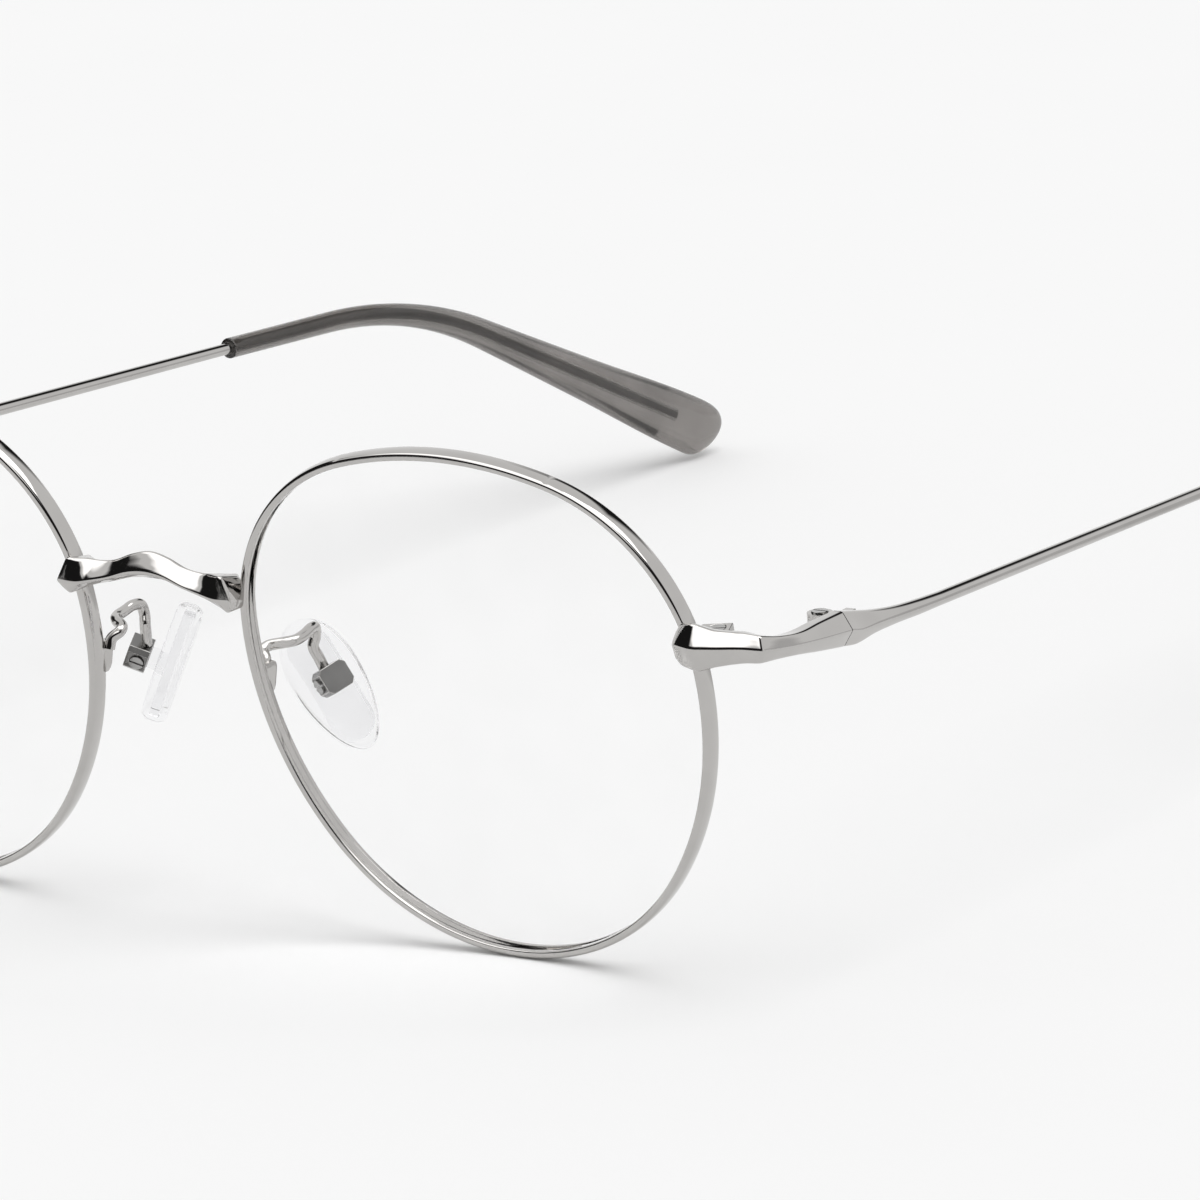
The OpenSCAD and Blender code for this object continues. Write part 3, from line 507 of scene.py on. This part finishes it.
def bridge_ring(x):
    """The bridge's section at x; f runs from 0 in its middle to 1 at its ends."""
    half = BRIDGE_W / 2
    f = abs(x) / half
    bow = curve(f, [(0, 1), (0.5, 0.8), (0.9, 0), (1, 0)])
    crown = BRIDGE_CROWN * bow
    rise = curve(f, [(0, 1), (0.2, 0.9), (0.41, 0.6), (0.66, 0.3), (0.84, 0.05), (1, 0)])
    low = curve(f, [(0, 0.5), (0.7, 0.5), (1, 0.05)])
    crease = RIM_Z + BRIDGE_Z + BRIDGE_RISE * rise - low
    front = -BRIDGE_REACH + (BRIDGE_SETBACK - BRIDGE_CROWN) * bow
    up = curve(f, [
        (0, BRIDGE_HUMP), (0.2, 1.05), (0.41, 0.85), (0.58, 1.05), (0.74, 1.6), (0.88, 2), (1, 2)])
    dn = curve(f, [(0, 1.15), (0.41, 1), (0.82, 1.1), (0.95, 1.35), (1, 1)])
    lean = curve(f, [(0.75, 0), (1, 0.5)])
    foot = curve(f, [(0, 0), (0.6, 0), (0.86, 2), (1, 1.4)])
    it = crown + curve(f, [(0, 0.6), (0.3, 0.6), (0.5, 0.8), (0.65, 0.8), (0.8, 0.35), (1, 0.3)])
    ib = crown + curve(f, [(0, 0.6), (0.6, 0.6), (1, 0.7)])
    tb = curve(f, [(0, 0.5), (0.6, 0.35), (0.9, 0.9), (1, 0.9)])
    ridge = curve(f, [(0, 0.5), (0.5, 0.4), (1, 0.2)])
    thick = BRIDGE_T + foot + crown
    section = roof(up + low + 0.1, dn - low * 0.9, it, ib, thick, tb * 0.6, ridge, 0.34)
    return [Vector((x * (1 - lean * abs(p[1]) / half), front - p[0], crease + p[1])) for p in section]


def make_bridge():
    half = BRIDGE_W / 2 * 0.985
    inner = [(half - 0.12) * (k / 36 - 1) for k in range(73)]
    rings = [bridge_ring(x) for x in inner]
    for x, end in ((-half, 0), (half, -1)):
        ring = bridge_ring(x)
        middle = sum(ring, Vector()) / len(ring)
        rings.insert(0 if end == 0 else len(rings), [mix(p, middle, 0.08) for p in ring])
    points, faces = skin(rings)
    piece = make_mesh("bridge_bar", points, faces, AT_MODEL, False, 45)
    return dress(piece, FRONT, "polished_metal", polished, "bridge")


# End pieces

def endpiece_rings():
    """Sections from the rim's side round the corner and back to the hinge seam."""
    z, t = RIM_Z + ENDPIECE_Z, ENDPIECE_T
    arm, corner = ARM_ANGLE - 90, CORNER_ANGLE - 90
    half_seam = SEAM_H / 2
    out = math.radians(TEMPLE_SPLAY)
    tip = (TEMPLE_X + 0.35 * math.cos(out), HINGE_Y + 0.35 * math.sin(out), SEAM_Z + MID_Z)
    run, fall = tip[1] - CORNER_Y, z - tip[2]
    reach = -ENDPIECE_REACH
    return [
        set_ring(roof(1.2, 1.5, 0.62, 0.4, t - 1.1, 0.2, 0.3), (ENDPIECE_X, reach + 1.05, z), -110),
        set_ring(roof(1.8, 1.95, 0.9, 0.7, t - 0.6, 0.25, 0.34), (ENDPIECE_X + 0.5, reach + 0.7, z), -104),
        set_ring(roof(2.15, 2.25, 1, 1.1, t, 0.3, 0.36), (ENDPIECE_X + 2.4, reach, z), -84),
        set_ring(roof(2, 2.2, 0.94, 1.1, t, 0.3, 0.36), (ENDPIECE_X + 3.2, reach + 0.25, z), arm),
        set_ring(roof(1.6, 1.8, 0.76, 1, t, 0.22, 0.36), (ENDPIECE_X + 4.6, reach + 0.75, z), arm),
        set_ring(roof(1.4, 1.45, 0.66, 0.8, t, 0.2, 0.34), (CORNER_X - 2, CORNER_Y - 0.7, z - 0.05), arm),
        set_ring(roof(1.3, 1.25, 0.55, 0.7, t * 1.2, 0.2, 0.3), (CORNER_X, CORNER_Y, z - 0.15), corner),
        set_ring(roof(1.15, 1, 0.25, 0.5, t, 0.3),
                 (CORNER_X + 0.25, CORNER_Y + run * 0.22, z - fall * 0.37), -3),
        set_ring(roof(1.05, 1.05, 0.4, 0.5, t, 0.2),
                 (CORNER_X + 0.4, CORNER_Y + run * 0.45, z - fall * 0.57), 0),
        set_ring(roof(1.35, 1.3, SEAM_RIDGE * 0.7, SEAM_RIDGE * 0.7, t, 0.1),
                 (CORNER_X + 0.4, CORNER_Y + run * 0.7, z - fall * 0.78), 2),
        set_ring(roof(half_seam, half_seam, SEAM_RIDGE, SEAM_RIDGE, t), tip, TEMPLE_SPLAY)]


def make_endpiece(side):
    rings = kink(kink(endpiece_rings(), 6, 0.2), 2, 0.3)
    points, faces = skin(smooth_rings(rings, 8))
    piece = make_mesh("endpiece_body_" + side, points, faces, AT_MODEL, SIDES[side] < 0, 45)
    return dress(piece, FRONT, "polished_metal", polished, "endpiece_" + side)


# Temples: a flared start, a round wire, and its bend inside the tip

BEND_TAN = BEND_R * math.tan(math.radians(EAR_BEND / 2))
STRAIGHT_LEN = TEMPLE_STRAIGHT / math.cos(math.radians(TEMPLE_FALL)) - BEND_TAN
BEND_LEN = BEND_R * math.radians(EAR_BEND)
TOTAL_LEN = STRAIGHT_LEN + BEND_LEN + TEMPLE_TAIL - BEND_TAN
MOUTH_LEN = TIP_START / math.cos(math.radians(TEMPLE_FALL))
WIRE_LEN = TOTAL_LEN - TIP_COVER


def line_at(s):
    """Point and fall angle at length s along the temple's line, in the hinge's frame."""
    fall = math.radians(TEMPLE_FALL)
    if s <= STRAIGHT_LEN:
        return Vector((0, math.cos(fall), -math.sin(fall))) * s, fall
    bent = min(math.radians(EAR_BEND), (s - STRAIGHT_LEN) / BEND_R)
    over = max(0, s - STRAIGHT_LEN - BEND_LEN)
    b = fall + bent
    start = Vector((0, math.cos(fall), -math.sin(fall))) * STRAIGHT_LEN
    centre = start - BEND_R * Vector((0, math.sin(fall), math.cos(fall)))
    on_bend = centre + BEND_R * Vector((0, math.sin(b), math.cos(b)))
    return on_bend + over * Vector((0, math.cos(b), -math.sin(b))), b


def line_ring(s, section):
    """A section of (x, height) points set square to the temple's line at length s."""
    point, b = line_at(s)
    up = Vector((0, math.sin(b), math.cos(b)))
    return [point + Vector((p[0], 0, 0)) + p[1] * up for p in section]


def flare_rings():
    """Sections from the seam, which the end piece shares, down to the round wire."""
    half_seam, t = SEAM_H / 2, ENDPIECE_T
    seam_x = 0.35
    drop = -math.tan(math.radians(TEMPLE_FALL))

    def ring(section, x, part, z):
        return set_ring(section, (x, FLARE_L * part, z + drop * FLARE_L * part), 0)

    def blended(sizes, rx, rz, t_round):
        return blend_sections(roof(*sizes), oval(rx, rz), t_round)

    first = roof(half_seam, half_seam, SEAM_RIDGE, SEAM_RIDGE, t)
    return [
        set_ring(first, (seam_x, SEAM_GAP, MID_Z), 0),
        ring(roof(half_seam, 1.4, SEAM_RIDGE * 0.85, SEAM_RIDGE * 0.7, t * 0.96), seam_x, 0.12, 0.1),
        ring(blended((1.2, 1, 0.7, 0.5, 1.75), 0.8, 1, 0.3), seam_x + 0.05, 0.3, 0.1),
        ring(blended((0.9, 0.75, 0.5, 0.4, 1.5), 0.7, 0.8, 0.6), seam_x + 0.15, 0.52, 0.05),
        ring(blended((0.75, 0.7, 0.4, 0.4, 1.35), 0.67, 0.72, 0.85), seam_x + 0.24, 0.76, 0),
        ring(oval(WIRE_R, WIRE_R), WIRE_R, 1, 0)]


def make_temple(side):
    rings = smooth_rings(flare_rings(), 8)
    taper_start, taper_stop = FLARE_L + 1, MOUTH_LEN
    lengths = [FLARE_L + 1 + (WIRE_LEN - FLARE_L - 1) * k / 60 for k in range(61)]
    for s in lengths:
        r = mix(WIRE_R, WIRE_END_R, min(1, max(0, (s - taper_start) / (taper_stop - taper_start))))
        rings.append(line_ring(s, [p + Vector((r, 0)) for p in oval(r, r)]))
    points, faces = skin(rings)
    piece = make_mesh("temple_bar_" + side, points, faces, AT_HINGE, SIDES[side] < 0, 45)
    return dress(piece, "temple_" + side + "_body", "polished_metal", polished, "temple_" + side)


def tip_height(f):
    """Half height of the tip; f runs from 0 at its mouth to 1 where its end rounds off."""
    return curve(f, [
        (0, TIP_MOUTH_R), (0.33, TIP_MOUTH_R * 1.1), (0.57, 1.62), (0.75, 2.14), (1, TIP_BLADE_H / 2)])


def tip_width(f):
    """Half width of the tip, likewise."""
    half = TIP_BLADE_T / 2
    return curve(f, [(0, TIP_MOUTH_R), (0.3, TIP_MOUTH_R * 1.05), (0.8, half), (1, half - 0.1)])


def ellipse(rx, rz, lift=0.0, count=40):
    angles = [2 * math.pi * k / count for k in range(count)]
    return [Vector((rx * math.cos(a), rz * math.sin(a) + lift)) for a in angles]


def make_tip(side):
    nose = TIP_BLADE_H * 0.72
    body = TOTAL_LEN - nose - MOUTH_LEN
    bore = WIRE_END_R + TIP_CLEARANCE
    rings = []
    for k in range(14):
        e = math.sin(math.radians(90 * (13.6 - k) / 14))
        out = math.sqrt(max(0, 1 - e * e))
        section = ellipse(tip_width(1) * out ** 0.7, tip_height(1) * out, 1.1 * e * e - 0.25)
        rings.append(line_ring(TOTAL_LEN - TIP_END_TRIM - nose + nose * e, section))
    for k in range(60, -1, -1):
        f = k / 60
        section = ellipse(tip_width(f), tip_height(f), -0.25 * f)
        rings.append(line_ring(MOUTH_LEN + 0.15 + body * f, section))
    for k in range(4):
        a = math.radians(30 * k)
        r = TIP_MOUTH_R - 0.15 * (1 - math.cos(a))
        rings.append(line_ring(MOUTH_LEN + 0.15 - 0.15 * math.sin(a), ellipse(r, r)))
    for k in range(41):
        rings.append(line_ring(mix(MOUTH_LEN, WIRE_LEN + 0.2, k / 40), ellipse(bore, bore)))
    points, faces = skin(rings)
    piece = make_mesh("tip_sleeve_" + side, points, faces, AT_HINGE, SIDES[side] < 0, 50)
    return dress(piece, "temple_" + side + "_body", "smoke_tip", smoke, "temple_tip_" + side)


# Nose pads: soft pad and the wire arm; the hard core keeps its CAD shape

def egg(wide, long, x, count=64):
    angles = [2 * math.pi * k / count for k in range(count)]
    return [Vector((x, PAD_W / 2 * wide * math.sin(a) * (1 + 0.14 * math.cos(a)),
                    (PAD_L - PAD_W * (1 - wide)) / 2 * long * math.cos(a))) for a in angles]


def make_pad(side):
    half = PAD_T / 2
    rings = []
    for k in range(25):
        a = math.radians(-90 + 180 * k / 24)
        x = half * math.copysign(abs(math.sin(a)) ** 0.75, a)
        wide = 0.66 + 0.34 * math.cos(a) ** 0.6 if k not in (0, 24) else 0.6
        rings.append(egg(wide, 0.97 + 0.03 * math.cos(a), x))
    points, faces = skin(rings)
    piece = make_mesh("soft_pad_" + side, points, faces, AT_PAD, SIDES[side] < 0, 60)
    piece.visible_shadow = False
    return dress(piece, "nose_pad_" + side + "_body", "pad_silicone", pad_clear, "nose_pad_" + side)


def carried_frames(path, first_up):
    """Sideways and up directions carried along a path without twist."""
    frames = []
    up = Vector(first_up)
    for i in range(len(path)):
        along = (path[min(len(path) - 1, i + 1)] - path[max(0, i - 1)]).normalized()
        up = (up - along * up.dot(along)).normalized()
        frames.append((along.cross(up), up))
    return frames


def tube(path, radius, count=24):
    rings = []
    for point, (across, up) in zip(path, carried_frames(path, (0, 1, 0.2))):
        angles = [2 * math.pi * k / count for k in range(count)]
        rings.append([point + radius * (math.cos(a) * across + math.sin(a) * up) for a in angles])
    return skin(rings)


def from_rim(u, v, w):
    return AT_MODEL.inverted() @ AT_RIM @ Vector((u, v, -w))


def from_pad(x, y, z):
    return AT_MODEL.inverted() @ AT_PAD @ Vector((x, y, z))


def arm_path():
    foot = from_rim(FOOT_U, FOOT_V + 1.2, RIM_D / 2 + 0.9)
    box_in = from_pad(BOX_REACH - 0.3, -BOX_AHEAD, BOX_UP + BOX_L / 2)
    down = foot + Vector((0.25, 6, -0.1))
    turns = [(-0.4, -0.3, -0.7), (-0.55, 0, 0.2), (-1.15, 0.5, 0.8), (-0.95, 1.1, 1.1), (0.1, 1.75, 1.3),
             (0.85, 2.7, 1.4), (0.9, 4, 1.6), (0.8, 5.1, 1.85), (0.6, 6, 1.7), (0.4, 6.2, 0.8)]
    points = [foot + Vector(p) for p in turns]
    points += [down, mix(down, box_in, 0.55), box_in]
    return spline_points(points, 8)


def make_arm(side):
    """The wire arm and the flattened foot that is soldered behind the rim, as one mesh."""
    wire_points, wire_faces = tube(arm_path(), ARM_R)
    rings = []
    for k in range(13):
        t = k / 12
        far = RIM_D / 2 + mix(0.7, 1.5, t * t * (3 - 2 * t))
        pinch = 1 - 0.25 * (2 * t - 1) ** 6
        half = RIM_T / 2 * pinch
        deep = far * pinch
        section = rounded([(-half, 0.6, 0.1), (half, 0.6, 0.1), (half, deep, 0.3), (-half, deep, 0.3)])
        v = FOOT_V + mix(-FOOT_L / 2, FOOT_L / 2, t)
        rings.append([from_rim(FOOT_U + p[0], v, p[1]) for p in section])
    foot_points, foot_faces = skin(rings)
    start = len(wire_points)
    faces = wire_faces + [tuple(start + i for i in face) for face in foot_faces]
    piece = make_mesh("pad_wire_" + side, wire_points + foot_points, faces, AT_MODEL, SIDES[side] < 0, 50)
    return dress(piece, FRONT, "polished_metal", polished, "pad_arm_" + side)


# Small turned and milled pieces keep their CAD shape, with their edges broken

def soften(node, body, slot, look, width, edge_look=None):
    """Stands for a node with a copy of its own shape whose edges are broken by width millimetres."""
    piece = frame["nodes"][node].copy()
    piece.data = frame["nodes"][node].data.copy()
    piece.name = node + "_finished"
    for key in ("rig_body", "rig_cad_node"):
        if key in piece:
            del piece[key]
    bpy.context.scene.collection.objects.link(piece)
    piece.parent = None
    shape = bmesh.new()
    shape.from_mesh(piece.data)
    bmesh.ops.remove_doubles(shape, verts=shape.verts, dist=0.000002)
    bmesh.ops.dissolve_limit(shape, angle_limit=math.radians(4), verts=shape.verts, edges=shape.edges)
    shape.to_mesh(piece.data)
    shape.free()
    piece.data.polygons.foreach_set("use_smooth", [True] * len(piece.data.polygons))
    piece.data.set_sharp_from_angle(angle=math.radians(35))
    broken = piece.modifiers.new("broken_edges", "BEVEL")
    broken.width = width * MM
    broken.segments = 3
    broken.limit_method = "ANGLE"
    broken.angle_limit = math.radians(40)
    broken.harden_normals = True
    dress(piece, body, slot, look, node)
    if edge_look:
        piece.data.materials.append(edge_look)
        broken.material = 1
    return piece


# Making

make_bridge()
for side in SIDES:
    make_rim(side)
    make_endpiece(side)
    make_temple(side)
    make_tip(side)
    make_pad(side)
    make_arm(side)
    soften("rim_lock_upper_" + side, FRONT, "polished_metal", polished, 0.1)
    soften("rim_lock_lower_" + side, FRONT, "polished_metal", polished, 0.1)
    soften("hinge_front_" + side, FRONT, "polished_metal", polished, 0.05)
    # The pad box: painted shade from the darker metal on its faces, and polished metal on its broken
    # edges.
    soften("pad_box_" + side, FRONT, "polished_metal", box_metal_painted_shade, 0.32, polished)
    for name in ("rim_lock_screw_", "hinge_screw_", "pad_screw_"):
        soften(name + side, FRONT, "screws", screw_steel, 0.03)
    soften("temple_knuckle_" + side, "temple_" + side + "_body", "polished_metal", polished, 0.05)
    for name, look in (("lens_", lens_glass), ("pad_core_", core_clear)):
        node = frame["nodes"][name + side]
        node.data.materials.clear()
        node.data.materials.append(look)
        node.visible_shadow = False


# Camera, solved from the photograph

CAMERA_LENS = 424.74
CAMERA_AZIMUTH = 36.1713
CAMERA_ELEVATION = 14.9015
CAMERA_ROLL = -3.46
CAMERA_PLACE = (749.0252, -960.3606, 351.8016)

az, el, roll = (math.radians(v) for v in (CAMERA_AZIMUTH, CAMERA_ELEVATION, CAMERA_ROLL))
back = Vector((math.sin(az) * math.cos(el), -math.cos(az) * math.cos(el), math.sin(el)))
level = Vector((math.cos(az), math.sin(az), 0))
upright = back.cross(level)
right = math.cos(roll) * level + math.sin(roll) * upright
up = back.cross(right)
camera = bpy.data.objects.new("camera", bpy.data.cameras.new("camera"))
camera.data.lens = CAMERA_LENS
camera.data.sensor_width = 36
camera.data.clip_start = 0.05
camera.data.clip_end = 100
place = Vector(CAMERA_PLACE) + Vector((0, SHIFT_Y, 0))
camera.matrix_world = Matrix.Translation(place * MM) @ Matrix((right, up, back)).transposed().to_4x4()
bpy.context.scene.collection.objects.link(camera)
bpy.context.scene.camera = camera


# Stage: pale floor, bright surroundings, and dark cards that only reflections see

# What the eye sees behind the object, and the level at which the room lights it
PAPER = 0.93
ROOM_LIGHT = 0.645
SUN_LIGHT = 1.265
SUN_SPREAD = 50
SUN_TILT = 25
FLOOR_SIZE = 30
CARD_GRID = 24


def seen_by_eye(nodes, links):
    """1 for rays from the camera, or by way of clear and polished surfaces alone."""
    path = nodes.new("ShaderNodeLightPath")
    total = path.outputs["Is Camera Ray"]
    for name in ("Is Glossy Ray", "Is Transmission Ray"):
        add = nodes.new("ShaderNodeMath")
        add.operation = "MAXIMUM"
        links.new(total, add.inputs[0])
        links.new(path.outputs[name], add.inputs[1])
        total = add.outputs[0]
    direct = nodes.new("ShaderNodeMath")
    direct.operation = "LESS_THAN"
    direct.inputs[1].default_value = 0.5
    links.new(path.outputs["Diffuse Depth"], direct.inputs[0])
    both = nodes.new("ShaderNodeMath")
    both.operation = "MULTIPLY"
    links.new(total, both.inputs[0])
    links.new(direct.outputs[0], both.inputs[1])
    return both.outputs[0]


def make_world():
    world = bpy.data.worlds.new("studio")
    world.use_nodes = True
    nodes, links = world.node_tree.nodes, world.node_tree.links
    base = nodes["Background"]
    base.inputs["Color"].default_value = (1, 1, 1, 1)
    base.inputs["Strength"].default_value = ROOM_LIGHT
    paper = nodes.new("ShaderNodeBackground")
    paper.inputs["Color"].default_value = (PAPER, PAPER, PAPER, 1)
    paper.inputs["Strength"].default_value = 1
    pick = nodes.new("ShaderNodeMixShader")
    links.new(seen_by_eye(nodes, links), pick.inputs["Fac"])
    links.new(base.outputs["Background"], pick.inputs[1])
    links.new(paper.outputs["Background"], pick.inputs[2])
    links.new(pick.outputs["Shader"], nodes["World Output"].inputs["Surface"])
    bpy.context.scene.world = world


def floor_look():
    look, nodes, links, shader = new_look("pale_floor")
    shader.inputs["Roughness"].default_value = 1
    shader.inputs["Specular IOR Level"].default_value = 0
    fine = noise(nodes, links, 30)
    low, high = PAPER - 0.002, PAPER + 0.002
    links.new(ramp(nodes, links, fine, (low,) * 3, (high,) * 3), shader.inputs["Base Color"])
    return look


def make_floor():
    half = FLOOR_SIZE / 2
    corners = [(-half, -half, 0), (half, -half, 0), (half, half, 0), (-half, half, 0)]
    mesh = bpy.data.meshes.new("floor")
    mesh.from_pydata(corners, [], [(0, 1, 2, 3)])
    mesh.materials.append(floor_look())
    floor = bpy.data.objects.new("floor", mesh)
    bpy.context.scene.collection.objects.link(floor)


def make_sun():
    sun = bpy.data.objects.new("overhead", bpy.data.lights.new("overhead", "SUN"))
    sun.data.energy = SUN_LIGHT
    sun.data.angle = math.radians(SUN_SPREAD)
    sun.rotation_euler = (0, math.radians(SUN_TILT), 0)
    bpy.context.scene.collection.objects.link(sun)


def card_look(name, brightness):
    """A glow that fades out towards a card's edges."""
    look = bpy.data.materials.new(name)
    look.use_nodes = True
    nodes, links = look.node_tree.nodes, look.node_tree.links
    nodes.clear()
    glow = nodes.new("ShaderNodeEmission")
    glow.inputs["Color"].default_value = (1, 1, 1, 1)
    glow.inputs["Strength"].default_value = brightness
    body = nodes.new("ShaderNodeAttribute")
    body.attribute_name = "body"
    pick = nodes.new("ShaderNodeMixShader")
    end = nodes.new("ShaderNodeOutputMaterial")
    links.new(body.outputs["Fac"], pick.inputs["Fac"])
    links.new(nodes.new("ShaderNodeBsdfTransparent").outputs["BSDF"], pick.inputs[1])
    links.new(glow.outputs["Emission"], pick.inputs[2])
    links.new(pick.outputs["Shader"], end.inputs["Surface"])
    return look


def make_card(name, look, corners, fade, far):
    """A card round the object that shows only in reflections, through four (azimuth, elevation) corners,
    far metres away. Azimuth 0 is +Y and 90 is +X. It fades out over the share fade of its width, and
    below the horizon it lies just above the floor."""
    middle = (cad_low + cad_high) / 2
    points, body = [], []
    for i in range(CARD_GRID + 1):
        for j in range(CARD_GRID + 1):
            u, v = i / CARD_GRID, j / CARD_GRID
            a = mix(mix(corners[0][0], corners[1][0], u), mix(corners[3][0], corners[2][0], u), v)
            e = mix(mix(corners[0][1], corners[1][1], u), mix(corners[3][1], corners[2][1], u), v)
            a, e = math.radians(a), math.radians(e)
            way = Vector((math.sin(a) * math.cos(e), math.cos(a) * math.cos(e), math.sin(e)))
            reach = far if e >= 0 else min(far, (middle.z - 0.001) / math.sin(-e))
            points.append(middle + way * reach)
            body.append(min(1, min(u, 1 - u, v, 1 - v) / fade))
    row = CARD_GRID + 1
    faces = [(i * row + j, (i + 1) * row + j, (i + 1) * row + j + 1, i * row + j + 1)
             for i in range(CARD_GRID) for j in range(CARD_GRID)]
    mesh = bpy.data.meshes.new(name)
    mesh.from_pydata(points, [], faces)
    mesh.attributes.new("body", "FLOAT", "POINT").data.foreach_set("value", body)
    mesh.materials.append(look)
    card = bpy.data.objects.new(name, mesh)
    bpy.context.scene.collection.objects.link(card)
    card.visible_camera = False
    card.visible_diffuse = False
    card.visible_shadow = False
    card.visible_transmission = False


make_world()
make_floor()
make_sun()

dark = card_look("dark_card", 0.015)
bright = card_look("soft_box", 2.3)
shaded = card_look("shaded_floor", 0.68)
for name, look, corners, fade, far in (
        ("soft_box_left", bright, [(-92, 40), (-162, 37), (-150, 86), (-60, 86)], 0.08, 2.5),
        ("soft_box_front", bright, [(-146, 25), (-214, 22), (-214, 84), (-140, 84)], 0.06, 2.5),
        ("flag_front", dark, [(-95, -6), (-250, -6), (-250, 20), (-95, 22)], 0.05, 2.3),
        ("flag_front_left", dark, [(-60, -6), (-154, -6), (-152, 33), (-60, 35)], 0.08, 2.25),
        ("flag_right", dark, [(105, 5), (142, 5), (142, 54), (105, 56)], 0.15, 2.2),
        ("flag_back", dark, [(-32, 20), (-32, 38), (25, 57), (25, 28)], 0.2, 2.2),
        ("floor_back", shaded, [(-5, -22), (75, -22), (75, 8), (-5, 8)], 0.2, 2.4)):
    make_card(name, look, corners, fade, far)

bpy.context.scene.view_settings.view_transform = "Standard"
